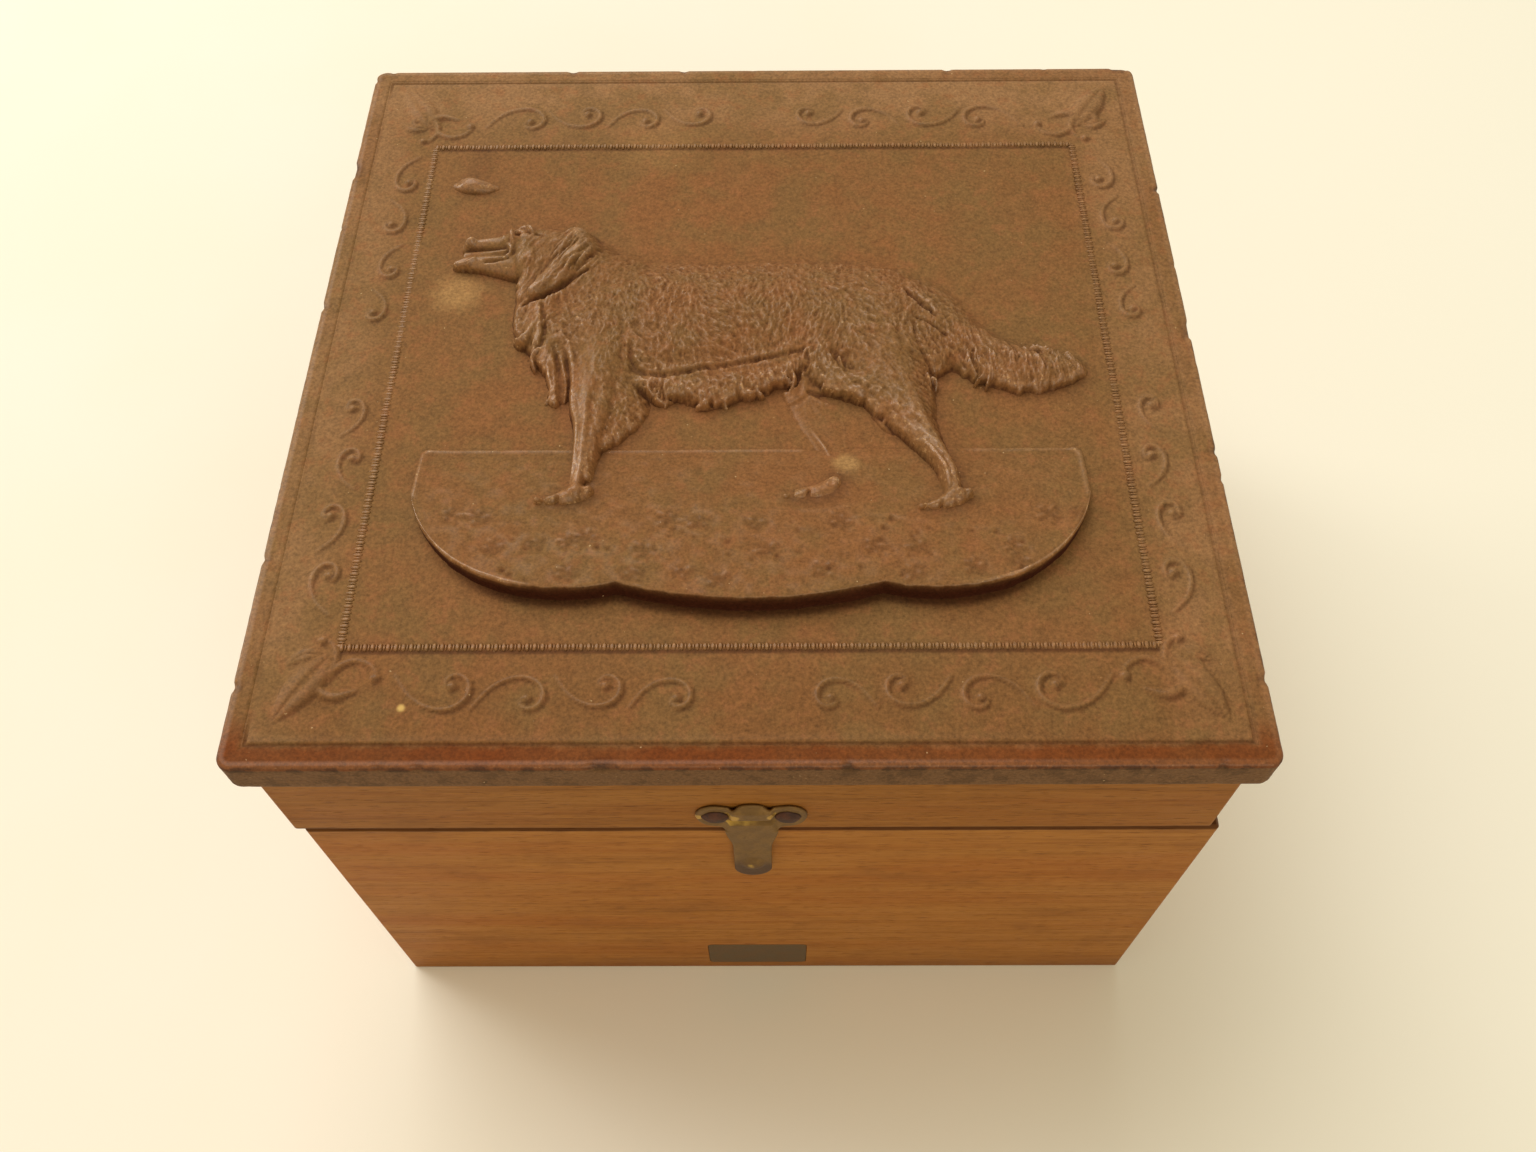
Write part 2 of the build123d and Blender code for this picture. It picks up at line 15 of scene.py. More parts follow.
import bmesh
import bpy
import numpy as np
from mathutils import Euler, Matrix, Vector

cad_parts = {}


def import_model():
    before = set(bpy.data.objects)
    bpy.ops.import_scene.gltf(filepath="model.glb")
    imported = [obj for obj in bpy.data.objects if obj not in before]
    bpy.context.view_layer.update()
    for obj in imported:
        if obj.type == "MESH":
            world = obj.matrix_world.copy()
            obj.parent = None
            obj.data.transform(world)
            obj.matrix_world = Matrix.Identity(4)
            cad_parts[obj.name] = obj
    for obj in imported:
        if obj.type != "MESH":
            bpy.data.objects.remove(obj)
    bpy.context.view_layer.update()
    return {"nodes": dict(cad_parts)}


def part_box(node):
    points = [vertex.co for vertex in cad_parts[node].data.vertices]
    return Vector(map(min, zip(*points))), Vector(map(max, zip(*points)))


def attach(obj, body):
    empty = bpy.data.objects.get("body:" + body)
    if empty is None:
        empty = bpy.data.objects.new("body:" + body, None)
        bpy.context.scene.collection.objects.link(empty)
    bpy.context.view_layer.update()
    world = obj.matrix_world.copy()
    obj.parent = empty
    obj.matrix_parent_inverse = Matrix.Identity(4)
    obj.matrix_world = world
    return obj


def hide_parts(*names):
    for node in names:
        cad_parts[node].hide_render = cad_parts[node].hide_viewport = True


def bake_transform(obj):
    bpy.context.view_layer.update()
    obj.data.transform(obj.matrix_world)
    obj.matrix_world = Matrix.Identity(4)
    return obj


log = logging.getLogger("wooden_box")

MM = 0.001
PLATE_THICKNESS = 7.8

Row = Sequence[float]
Pair = tuple[float, float]
Rows = Sequence[Row]
Array = np.ndarray
Marks = dict[str, Array]
Window = tuple[slice, slice]
Colour = tuple[float, float, float]


# Numbers


def unit(values: Any) -> Array:
    """Values held between 0 and 1."""
    return np.clip(values, 0, 1)


def eased(share: Array) -> Array:
    """A share from 0 to 1 with soft ends: three times its square less twice its cube."""
    return share**2 * (3 - 2 * share)


def spaced(marks: Row, pitches: Row) -> Array:
    """Places that hit every mark, evenly spaced between two marks at about their pitch.

    Args:
        marks: The places that are hit, in order.
        pitches: The distance wanted in each stretch between two marks.

    Returns:
        The places, from the first mark to the last.
    """
    runs = []
    for start, end, pitch in zip(marks, marks[1:], pitches):
        runs.append(np.linspace(start, end, max(1, round((end - start) / pitch)) + 1)[:-1])
    return np.concatenate([*runs, [marks[-1]]])


def value_noise(x: Array, y: Array, size: float, seed: int) -> Array:
    """Smooth random heights from -1 to 1: a lattice of random values, eased between its corners.

    Args:
        x, y: The places.
        size: The lattice's spacing.
        seed: What the lattice is drawn from.

    Returns:
        A height for each place.
    """
    cells = 64
    lattice = np.random.default_rng(seed).uniform(-1, 1, (cells, cells))
    u, v = np.broadcast_arrays(x / size + 1000, y / size + 1000)
    column, row = np.floor(u).astype(int), np.floor(v).astype(int)
    across, up = eased(u - column), eased(v - row)
    left, right, lower, upper = column % cells, (column + 1) % cells, row % cells, (row + 1) % cells
    low = lattice[lower, left] * (1 - across) + lattice[lower, right] * across
    high = lattice[upper, left] * (1 - across) + lattice[upper, right] * across
    return low * (1 - up) + high * up


def blurred(values: Array, reach: int) -> Array:
    """A grid of values averaged twice over the square round each cell, by running sums.

    Args:
        values: The grid.
        reach: The cells it reaches each way.

    Returns:
        The averaged grid.
    """
    span = 2 * reach + 1
    for axis in (0, 1, 0, 1):
        padding = [(reach + 1, reach) if k == axis else (0, 0) for k in (0, 1)]
        sums = np.cumsum(np.pad(values, padding, mode="edge"), axis)
        stop = sums.shape[axis]
        values = (np.take(sums, range(span, stop), axis) - np.take(sums, range(stop - span), axis)) / span
    return values


def smooth_stations(stations: Rows, steps: int = 6) -> Array:
    """Rows of numbers joined by Catmull-Rom curves, which are cubics of the share of the way.

    Args:
        stations: The rows that it passes through.
        steps: The steps from row to row.

    Returns:
        The rows along the curve.
    """
    rows = np.array(stations, float)
    padded = np.concatenate([[2 * rows[0] - rows[1]], rows, [2 * rows[-1] - rows[-2]]])
    share = np.linspace(0, 1, steps, endpoint=False)[None, :, None]
    a, b, c, d = (padded[k : len(rows) - 1 + k, None] for k in range(4))
    curve = b + (c - a) * share / 2 + (2 * a - 5 * b + 4 * c - d) * share**2 / 2
    curve = curve + (3 * b - a - 3 * c + d) * share**3 / 2
    return np.concatenate([curve.reshape(-1, rows.shape[1]), rows[-1:]])


# Surfaces


@dataclass
class Surface:
    """Points in millimetres, with quads, larger flat faces and named values over them."""

    points: Array
    quads: Array
    caps: list[Array] = field(default_factory=list)
    marks: Marks = field(default_factory=dict)
    walls: Array = field(default_factory=lambda: np.empty((0, 4), int))
    open_below: bool = False

    def piece(self, name: str, finish: bpy.types.Material) -> bpy.types.Object:
        """Make the surface into an object at the origin, with its faces turned outwards.

        Args:
            name: The object's name.
            finish: Its material.

        Returns:
            The new object, smooth on its quads.
        """
        mesh = bpy.data.meshes.new(name)
        corners = np.concatenate([self.quads.ravel(), self.walls.ravel(), *self.caps]).astype(np.int32)
        sizes = np.array([4] * (len(self.quads) + len(self.walls)) + [len(cap) for cap in self.caps])
        mesh.vertices.add(len(self.points))
        mesh.vertices.foreach_set("co", (self.points * MM).astype(np.float32).ravel())
        mesh.loops.add(len(corners))
        mesh.loops.foreach_set("vertex_index", corners)
        mesh.polygons.add(len(sizes))
        mesh.polygons.foreach_set("loop_start", np.concatenate([[0], np.cumsum(sizes)[:-1]]).astype(np.int32))
        mesh.polygons.foreach_set("use_smooth", np.arange(len(sizes)) < len(self.quads))
        for key, values in self.marks.items():
            mesh.attributes.new(key, "FLOAT", "POINT").data.foreach_set("value", values.astype(np.float32))
        mesh.update(calc_edges=True)
        work = bmesh.new()
        work.from_mesh(mesh)
        if self.open_below:
            bmesh.ops.triangle_fill(work, edges=[edge for edge in work.edges if edge.is_boundary])
        bmesh.ops.recalc_face_normals(work, faces=work.faces)
        work.to_mesh(mesh)
        work.free()
        mesh.materials.append(finish)
        made = bpy.data.objects.new(name, mesh)
        bpy.context.scene.collection.objects.link(made)
        return made


def grid_quads(rows: int, columns: int, wrap: bool = False) -> Array:
    """Number the quads of a grid whose points are counted row by row.

    Args:
        rows: The number of rows.
        columns: The points in a row.
        wrap: Whether each row closes on itself.

    Returns:
        Rows of four point numbers.
    """
    row = np.arange(rows - 1)[:, None] * columns
    here = np.arange(columns if wrap else columns - 1)[None, :]
    after = (here + 1) % columns
    corners = np.broadcast_arrays(row + here, row + after, row + columns + after, row + columns + here)
    return np.stack([corner.ravel() for corner in corners], 1)


def capped_rings(rings: Array, marks: Marks | None = None) -> Surface:
    """Join closed rings of points by quads, and close the first and the last with a flat face.

    Args:
        rings: The points, ring by ring.
        marks: Values for each point.

    Returns:
        The closed surface.
    """
    rows, count = rings.shape[:2]
    caps = [np.arange(count)[::-1], (rows - 1) * count + np.arange(count)]
    values = {key: np.array(value, float).ravel() for key, value in (marks or {}).items()}
    return Surface(rings.reshape(-1, 3), grid_quads(rows, count, True), caps, values)


def closed_sheet(top: Array, marks: Marks, bottom: float) -> Surface:
    """Close a grid of points with walls below its outline and one flat face under it.

    Args:
        top: The grid's points.
        marks: Values for each point.
        bottom: The height of the flat face.

    Returns:
        The surface, with marks of nought at its foot.
    """
    number = np.arange(top.shape[0] * top.shape[1]).reshape(top.shape[:2])
    loop = np.concatenate([number[0], number[1:, -1], number[-1, -2::-1], number[-2:0:-1, 0]])
    sheet = top.reshape(-1, 3)
    foot = sheet[loop] * (1, 1, 0) + (0, 0, bottom)
    under = len(sheet) + np.arange(len(loop))
    walls = np.stack([loop, under, np.roll(under, -1), np.roll(loop, -1)], 1)
    values = {key: np.append(value.ravel(), np.zeros(len(loop))) for key, value in marks.items()}
    return Surface(np.concatenate([sheet, foot]), grid_quads(*number.shape), [under[::-1]], values, walls)


def joined(parts: Sequence[Surface]) -> Surface:
    """Join surfaces into one, with the later ones' point numbers moved on.

    Args:
        parts: The surfaces, with the same marks.

    Returns:
        The whole.
    """
    starts = np.cumsum([0] + [len(part.points) for part in parts[:-1]])
    return Surface(
        np.concatenate([part.points for part in parts]),
        np.concatenate([part.quads + start for part, start in zip(parts, starts)]),
        [cap + start for part, start in zip(parts, starts) for cap in part.caps],
        {key: np.concatenate([part.marks[key] for part in parts]) for key in parts[0].marks},
        np.concatenate([part.walls + start for part, start in zip(parts, starts)]),
    )


@dataclass
class Relief:
    """Heights over a grid of places, which strokes, domes and locks of hair raise or sink."""

    x: Array
    y: Array

    def __post_init__(self) -> None:
        """Start with level ground."""
        self.across, self.up = np.meshgrid(self.x, self.y)
        self.height = np.zeros_like(self.across)

    def waves(self, depth: float, size: float, seed: int) -> Array:
        """Smooth random waves over the grid, with their depth and their size."""
        return depth * value_noise(self.across, self.up, size, seed)

    def window(self, line: Array, reach: float) -> Window:
        """The grid's rows and columns near a line.

        Args:
            line: Points along the line.
            reach: How far it reaches.

        Returns:
            The rows and the columns.
        """
        rows = np.searchsorted(self.y, (line[:, 1].min() - reach, line[:, 1].max() + reach))
        columns = np.searchsorted(self.x, (line[:, 0].min() - reach, line[:, 0].max() + reach))
        return slice(*rows), slice(*columns)

    def along(self, stations: Array, place: Window) -> tuple[Array, Array, Array]:
        """How far each place lies from a spine, in half widths, and the spine's height there.

        Each place takes the stretch of spine that it lies nearest to for its width.

        Args:
            stations: Rows of x, y, half width and height.
            place: The window to work in.

        Returns:
            The distance in half widths, the height, and how much the place lies on the far
            side, seen from the plate's front left corner.
        """
        start, step = stations[:-1], np.diff(stations, axis=0)
        x = self.across[place][..., None] - start[:, 0]
        y = self.up[place][..., None] - start[:, 1]
        length = np.maximum(step[:, 0] ** 2 + step[:, 1] ** 2, 1e-9)
        share = unit((x * step[:, 0] + y * step[:, 1]) / length)
        x, y = x - share * step[:, 0], y - share * step[:, 1]
        distance = np.hypot(x, y)
        apart = distance / (start[:, 2] + share * step[:, 2])
        tall = start[:, 3] + share * step[:, 3]
        behind = (x + y) / np.maximum(distance, 1e-6) * math.sqrt(0.5)
        best = apart.argmin(-1)[..., None]
        apart, tall, behind = (np.take_along_axis(value, best, -1)[..., 0] for value in (apart, tall, behind))
        return apart, tall, unit(behind)

    def swell(self, stations: Rows, fall: float, ragged: float, fade: float) -> Array:
        """The height of a rounded mass along a spine: half an ellipse that fades on its far side.

        It is one less the distance squared, to a power of a little over a half on the near
        side, which ends in a steep edge, and to a greater power on the far side.

        Args:
            stations: Rows of x, y, half width and height.
            fall: How fast the value sinks outside the mass.
            ragged: How far the outline wanders, in half widths.
            fade: How much greater the power is on the far side.

        Returns:
            A grid of heights, below nought outside the mass.
        """
        near_power = 0.55
        line = smooth_stations(stations)
        heights = np.full_like(self.height, -1)
        place = self.window(line, line[:, 2].max() * 1.5)
        apart, tall, behind = self.along(line, place)
        x, y = self.across[place], self.up[place]
        wander = value_noise(x, y, 2.4, 8) + 0.7 * value_noise(x, y, 0.9, 9)
        apart = apart * (1 + ragged * wander)
        inside = tall * unit(1 - apart**2) ** (near_power + fade * behind)
        heights[place] = np.where(apart < 1, inside, (1 - apart) * fall)
        return heights

    def stroke(self, stations: Rows, add: bool = False, steps: int = 6) -> None:
        """Raise or sink a soft ridge along a line: its section is one less the distance squared.

        Args:
            stations: Rows of x, y, half width and height.
            add: Whether it is added to what is there.
            steps: The steps between two stations.
        """
        line = smooth_stations(stations, steps)
        place = self.window(line, line[:, 2].max() * 1.2)
        apart, tall, _ = self.along(line, place)
        ridge = tall * unit(1 - apart**2)
        below = self.height[place]
        self.height[place] = below + ridge if add else np.where(apart < 1, np.maximum(below, ridge), below)

    def add_strokes(self, lines: Sequence[Rows], steps: int = 6) -> None:
        """Add a soft ridge or furrow along each line of x, y, half width and height."""
        for line in lines:
            self.stroke(line, True, steps)

    def leaf(self, stations: Rows, rib: float) -> None:
        """Raise a pointed leaf along a line, domed across and sunk along its rib.

        Its section is half an ellipse, less a narrow bell curve in the middle.

        Args:
            stations: Rows of x, y, half width and height.
            rib: How deep the rib lies.
        """
        rib_half = 0.22
        line = smooth_stations(stations)
        place = self.window(line, line[:, 2].max() * 1.2)
        apart, tall, _ = self.along(line, place)
        dome = tall * np.sqrt(unit(1 - apart**2)) - rib * np.exp(-((apart / rib_half) ** 2))
        self.height[place] = np.where(apart < 1, np.maximum(self.height[place], dome), self.height[place])

    def dome(self, x: float, y: float, radius: float, rise: float, add: bool = False) -> None:
        """Raise a round boss, or sink a round pit where the rise is below nought."""
        self.stroke([(x - radius / 50, y, radius, rise), (x + radius / 50, y, radius, rise)], add, 1)

    def add_domes(self, rows: Rows) -> None:
        """Add a boss or a pit for each row of x, y, radius and rise."""
        for row in rows:
            self.dome(*row, add=True)

    def marks(self, *scales: tuple[int, float]) -> Marks:
        """How much a place stands up or lies low, from 0 to 1, for each reach in cells and height."""
        lift = sum((self.height - blurred(self.height, reach)) / depth for reach, depth in scales)
        return {"raised": unit(lift), "hollow": unit(-lift)}

    def sampled(self, values: Array, x: Array, y: Array) -> Array:
        """Values over the grid at other places, taken in proportion between the four nearest.

        Args:
            values: A value for each place of the grid.
            x, y: The other places.

        Returns:
            A value for each of the other places.
        """
        u = np.interp(x, self.x, np.arange(len(self.x)))
        v = np.interp(y, self.y, np.arange(len(self.y)))
        column = np.minimum(u.astype(int), len(self.x) - 2)
        row = np.minimum(v.astype(int), len(self.y) - 2)
        u, v = u - column, v - row
        low = values[row, column] * (1 - u) + values[row, column + 1] * u
        high = values[row + 1, column] * (1 - u) + values[row + 1, column + 1] * u
        return low * (1 - v) + high * v

    def carved(self, keep: Array, marks: Marks, level: float, foot: float) -> Surface:
        """Keep some cells of the relief and put walls below their outline.

        Args:
            keep: Whether each cell stays.
            marks: Values for each place.
            level: The height that the relief starts from.
            foot: The height where the walls end.

        Returns:
            The surface, which is still open below.
        """
        rows, columns = self.height.shape
        count = rows * columns
        quads = grid_quads(rows, columns)
        padded = np.pad(keep, 1)
        walls = []
        edge_corners = {(0, -1): (0, 3), (0, 1): (2, 1), (-1, 0): (1, 0), (1, 0): (3, 2)}
        for (down, right), (start, end) in edge_corners.items():
            neighbour = padded[1 + down : 1 + down + keep.shape[0], 1 + right : 1 + right + keep.shape[1]]
            rim = quads[(keep & ~neighbour).ravel()]
            near, far = rim[:, start], rim[:, end]
            walls.append(np.stack([near, far, far + count, near + count], 1))
        quads, walls = quads[keep.ravel()], np.concatenate(walls)
        used, numbers = np.unique(np.concatenate([quads, walls]), return_inverse=True)
        top = np.stack([self.across, self.up, level + self.height], -1).reshape(-1, 3)
        points = np.concatenate([top, top * (1, 1, 0) + (0, 0, foot)])[used]
        values = {key: np.append(value.ravel(), np.zeros(count))[used] for key, value in marks.items()}
        numbers = numbers.reshape(-1, 4)
        return Surface(points, numbers[: len(quads)], [], values, numbers[len(quads) :], True)


# Finishes


class Socket:
    """An output socket that takes part in Python arithmetic by adding Math nodes."""

    def __init__(self, tree: Tree, link: bpy.types.NodeSocket) -> None:
        """Remember the tree that the socket is in."""
        self.tree = tree
        self.link = link

    def _with(self, operation: str, first: Any, second: Any = 0.0) -> Socket:
        """The output of a Math node on two values or sockets."""
        return self.tree.node("ShaderNodeMath", {"operation": operation}, {0: first, 1: second})

    def __add__(self, other: Any) -> Socket:
        """This plus other."""
        return self._with("ADD", self, other)

    def __radd__(self, other: Any) -> Socket:
        """Other plus this."""
        return self._with("ADD", other, self)

    def __sub__(self, other: Any) -> Socket:
        """This less other."""
        return self._with("SUBTRACT", self, other)

    def __rsub__(self, other: Any) -> Socket:
        """Other less this."""
        return self._with("SUBTRACT", other, self)

    def __mul__(self, other: Any) -> Socket:
        """This times other."""
        return self._with("MULTIPLY", self, other)

    def __rmul__(self, other: Any) -> Socket:
        """Other times this."""
        return self._with("MULTIPLY", other, self)

    def __pow__(self, other: Any) -> Socket:
        """This to the power of other."""
        return self._with("POWER", self, other)

    def __rpow__(self, other: Any) -> Socket:
        """Other to the power of this."""
        return self._with("POWER", other, self)

    def __abs__(self) -> Socket:
        """The size of this without its sign."""
        return self._with("ABSOLUTE", self)

    def above(self, low: float, high: float) -> Socket:
        """How far this has risen from low to high, from 0 to 1, eased at both ends."""
        inputs = {"Value": self, "From Min": low, "From Max": high}
        return self.tree.node("ShaderNodeMapRange", {"interpolation_type": "SMOOTHSTEP"}, inputs)

    def between(self, ends: Pair, soft: float) -> Socket:
        """One between two ends and nought outside them, with a soft change at both."""
        return (self - ends[0]).above(-soft, soft) * (1 - (self - ends[1]).above(-soft, soft))

    def at_most(self, other: Any) -> Socket:
        """The smaller of this and other."""
        return self._with("MINIMUM", self, other)

    def at_least(self, other: Any) -> Socket:
        """The larger of this and other."""
        return self._with("MAXIMUM", self, other)


def painted(colour: Colour) -> tuple[float, float, float, float]:
    """A colour as it is seen on a screen, from 0 to 255, as the linear colour that a shader takes."""
    return (*(((part / 255 + 0.055) / 1.055) ** 2.4 if part > 10 else part / 3294 for part in colour), 1)


class Tree:
    """Nodes of a material or the world, added one by one and joined by their values."""

    def __init__(self, name: str, nodes: bpy.types.NodeTree | None = None) -> None:
        """Start with no nodes.

        Args:
            name: The new material's name.
            nodes: The world's nodes, or None for a new material.
        """
        if nodes is None:
            self.material = bpy.data.materials.new(name)
            self.material.use_nodes = True
            nodes = self.material.node_tree
        self.nodes = nodes.nodes
        self.links = nodes.links
        self.nodes.clear()

    def node(self, kind: str, settings: dict[str, Any], inputs: dict[Any, Any], output: Any = 0) -> Any:
        """Add a node, set what it is, and then give its sockets their values or links.

        Args:
            kind: The node's type.
            settings: What is set on the node itself, or a ramp's stops.
            inputs: A value or a Socket for each input.
            output: The output wanted, or None.

        Returns:
            That output as a Socket, or None.
        """
        made = self.nodes.new(kind)
        for name, value in settings.items():
            if name == "stops":
                elements = made.color_ramp.elements
                for index, (place, colour) in enumerate(value):
                    element = elements[index] if index < 2 else elements.new(place)
                    element.position, element.color = place, colour
            else:
                setattr(made, name, value)
        for name, value in inputs.items():
            if isinstance(value, Socket):
                self.links.new(value.link, made.inputs[name])
            else:
                made.inputs[name].default_value = value
        return Socket(self, made.outputs[output]) if output is not None else None

    def place(self) -> Socket:
        """The place on the object, in metres in the box's own frame."""
        return self.node("ShaderNodeTexCoord", {}, {}, "Object")

    def axis(self, name: str) -> Socket:
        """One of the place's numbers, X, Y or Z, in millimetres."""
        return self.node("ShaderNodeSeparateXYZ", {}, {0: self.place()}, name) * (1 / MM)

    def mark(self, name: str) -> Socket:
        """A value that the mesh carries at each point."""
        return self.node("ShaderNodeAttribute", {"attribute_name": name}, {}, "Fac")

    def noise(self, size: float | Row, detail: float = 3, rough: float = 0.5, shift: float = 0) -> Socket:
        """Smooth random values about 0.5 over the place.

        Args:
            size: The size of a lump, or its size along each axis.
            detail: How many finer noises are added.
            rough: How strong each finer noise is beside the last.
            shift: How far it is moved along every axis.

        Returns:
            The value.
        """
        sizes = (size,) * 3 if isinstance(size, (int, float)) else size
        stretch = tuple(1 / (part * MM) for part in sizes)
        inputs = {0: self.place(), "Location": (shift,) * 3, "Scale": stretch}
        spot = self.node("ShaderNodeMapping", {"vector_type": "POINT"}, inputs)
        inputs = {"Vector": spot, "Scale": 1, "Detail": detail, "Roughness": rough}
        return self.node("ShaderNodeTexNoise", {"noise_dimensions": "3D"}, inputs)

    def ramp(self, value: Socket, stops: Sequence[tuple[float, Colour]]) -> Socket:
        """A colour for each value, blended between stops of a value and its colour."""
        settings = {"stops": [(place, painted(colour)) for place, colour in stops]}
        return self.node("ShaderNodeValToRGB", settings, {0: value})

    def mix(self, share: Any, first: Socket | Colour, second: Socket | Colour) -> Socket:
        """A share of the second colour over the first."""
        first, second = (painted(side) if isinstance(side, tuple) else side for side in (first, second))
        return self.node("ShaderNodeMix", {"data_type": "RGBA"}, {0: share, 6: first, 7: second}, 2)

    def layered(self, ground: Socket, *layers: tuple[Any, Socket | Colour]) -> Socket:
        """Lay colours over a ground, one after another.

        Args:
            ground: The lowest colour.
            layers: Each layer's share and colour, from the lowest up.

        Returns:
            The colour that shows.
        """
        for share, colour in layers:
            ground = self.mix(share, ground, colour)
        return ground

    def scaled(self, colour: Socket, factor: Socket | float) -> Socket:
        """A colour made darker or lighter all over by a factor."""
        return self.node("ShaderNodeVectorMath", {"operation": "SCALE"}, {0: colour, "Scale": factor})

    def near(self, middle: Pair, radius: float, wobble: Socket) -> Socket:
        """One inside a soft-edged spot seen from above, and nought outside.

        Args:
            middle: The spot's middle, as x and y.
            radius: Its radius.
            wobble: A noise that makes its edge uneven.

        Returns:
            The value.
        """
        x, y = self.axis("X") - middle[0], self.axis("Y") - middle[1]
        apart = (x * x + y * y) ** 0.5 * (1 / radius)
        return 1 - (apart + (wobble - 0.5)).above(0.35, 1.25)

    def bump(self, height: Socket, depth: float) -> Socket:
        """The normal over a height from 0 to 1, whose full depth is in millimetres."""
        return self.node("ShaderNodeBump", {}, {"Height": height, "Strength": 1, "Distance": depth * MM})

    def finish(self, inputs: dict[str, Any]) -> bpy.types.Material:
        """Close the tree with one Principled shader.

        Args:
            inputs: A value or a Socket for each input.

        Returns:
            The material.
        """
        shader = self.node("ShaderNodeBsdfPrincipled", {}, inputs)
        self.node("ShaderNodeOutputMaterial", {}, {"Surface": shader}, None)
        return self.material


@dataclass(frozen=True)
class MouldedFinish:
    """Pressed brown composition: matt, grained, rubbed light with a painted highlight on what stands up, and
    darker with painted shade and dirt in the hollows.
    """

    half_width: float
    half_depth: float
    top: float
    stains: tuple[tuple[Pair, float, float], ...] = (
        ((-56.6, 16.4), 5.2, 0.62), ((16.6, -25), 2.6, 0.8), ((-20, 58), 9, 0.18),
    )
    fleck: Pair = (-54.6, -71.9)
    fleck_radius: float = 0.75
    body: Colour = (129, 93, 56)
    warm: Colour = (135, 91, 54)
    green: Colour = (124, 94, 56)
    red: Colour = (137, 90, 57)
    dusty: Colour = (130, 96, 58)
    pale: Colour = (149, 112, 76)
    shaded: Colour = (120, 81, 44)
    rubbed: Colour = (172, 124, 78)
    painted_highlight: Colour = (206, 164, 116)
    deep: Colour = (64, 30, 16)
    red_edge: Colour = (112, 56, 20)
    grey_side: Colour = (111, 80, 52)
    side_blotch: Colour = (84, 60, 38)
    dark_lip: Colour = (46, 28, 16)
    stain: Colour = (172, 134, 86)
    yellow: Colour = (214, 178, 108)
    fibre: Colour = (206, 176, 132)

    def material(self) -> bpy.types.Material:
        """Build the finish: the face, its wear and its painted light and shade, the grey sides, and fine
        grain over all of it.

        Returns:
            The new material.
        """
        tree = Tree("moulded_composition")
        x, y = tree.axis("X"), tree.axis("Y")
        clouds = tree.noise(34, 4, 0.6)
        mottle = tree.noise(3.2, 4, 0.65, 7)
        grain = tree.noise(0.6, 3, 0.7, 3)
        fibres = tree.noise(0.9, 2, 0.5, 11).above(0.76, 0.79)
        raised = tree.mark("raised")
        from_edge = (self.half_width - abs(x)).at_most(self.half_depth - abs(y))
        # the face: dusty to the left, pale along the back and the sides, darker in front
        left = 1 - (x + mottle * 12).above(-82, -28)
        back = (y + mottle * 10).above(58, 78)
        sides = (abs(x + 2) + mottle * 8).above(68, 78)
        front = 1 - (y + mottle * 8).above(-70, -54)
        patches = tree.noise(10, 4, 0.6, 13).above(0.42, 0.62)
        colour = tree.layered(
            tree.mix(clouds.above(0.36, 0.64), self.body, self.warm),
            (left * 0.75, self.dusty),
            (back.at_least(sides * 0.7), self.pale),
            (front * 0.5, self.shaded),
            (patches * 0.6, self.green),
            (mottle.above(0.5, 0.68) * 0.5, self.red),
        )
        # its wear and painted light: a red band along the front edge, stains, painted shade and dirt where
        # the marks say a place lies low, and a rubbed colour with painted highlights and glints where they
        # say it stands up
        in_front = 1 - y.above(-79.5, -72)
        band = 1 - (from_edge + (mottle - 0.5) * 3).above(2.9, 4.6)
        # painted glints: small light specks on what stands up
        glints = tree.noise(0.7, 2, 0.5, 9).above(0.6, 0.68) * raised.above(0.25, 0.6)
        colour = tree.layered(
            colour,
            (band * (in_front * 0.75 + clouds.above(0.42, 0.62) * 0.2), self.red_edge),
            *((tree.near(middle, radius, mottle) * strength, self.stain)
              for middle, radius, strength in self.stains),
            # painted shade and dirt: darker in hollows, beside steep edges and where shadows fall
            (tree.mark("hollow") * 0.75, self.deep),
            # rubbed wear and painted highlight: lighter on what stands up
            (raised * 0.42, self.rubbed),
            (glints * 0.5, self.painted_highlight),
        )
        # the sides: grey and blotched, and dark in patches at the lip
        down = self.top - tree.axis("Z") + (mottle - 0.5) * 0.9
        side = down.above(0.5, 1) * (1 - from_edge.above(1, 1.6))
        blotched = tree.mix(mottle.above(0.46, 0.66) * 0.8, self.grey_side, self.side_blotch)
        lip = down.above(0.05, 0.35) * (1 - down.above(0.9, 1.6)) * (1 - from_edge.above(0.8, 1.4))
        colour = tree.layered(colour, (side, blotched), (lip * mottle.above(0.4, 0.6) * 0.64, self.dark_lip))
        colour = tree.scaled(colour, 1 + (grain - 0.5) * 1.5 + (mottle - 0.5) * 0.4)
        fleck = tree.near(self.fleck, self.fleck_radius, mottle)
        return tree.finish({
            "Base Color": tree.layered(colour, (fleck, self.yellow), (fibres * 0.7, self.fibre)),
            "Roughness": 0.62 + mottle * 0.14 - raised * 0.2,
            "Normal": tree.bump(grain * 0.6 + tree.noise(1.6, 3, 0.6, 5) * 0.4, 0.16),
            "Specular IOR Level": 0.11,
            "Coat Weight": raised * 0.9,
            "Coat Roughness": 0.25,
        })


class Grain(Enum):
    """The axis that a board's grain runs along."""

    X = 0
    Y = 1

    def sizes(self, along: float, across: float) -> tuple[float, float, float]:
        """Lump sizes for a noise, long along the grain and short across it."""
        return tuple(along if axis == self.value else across for axis in range(3))


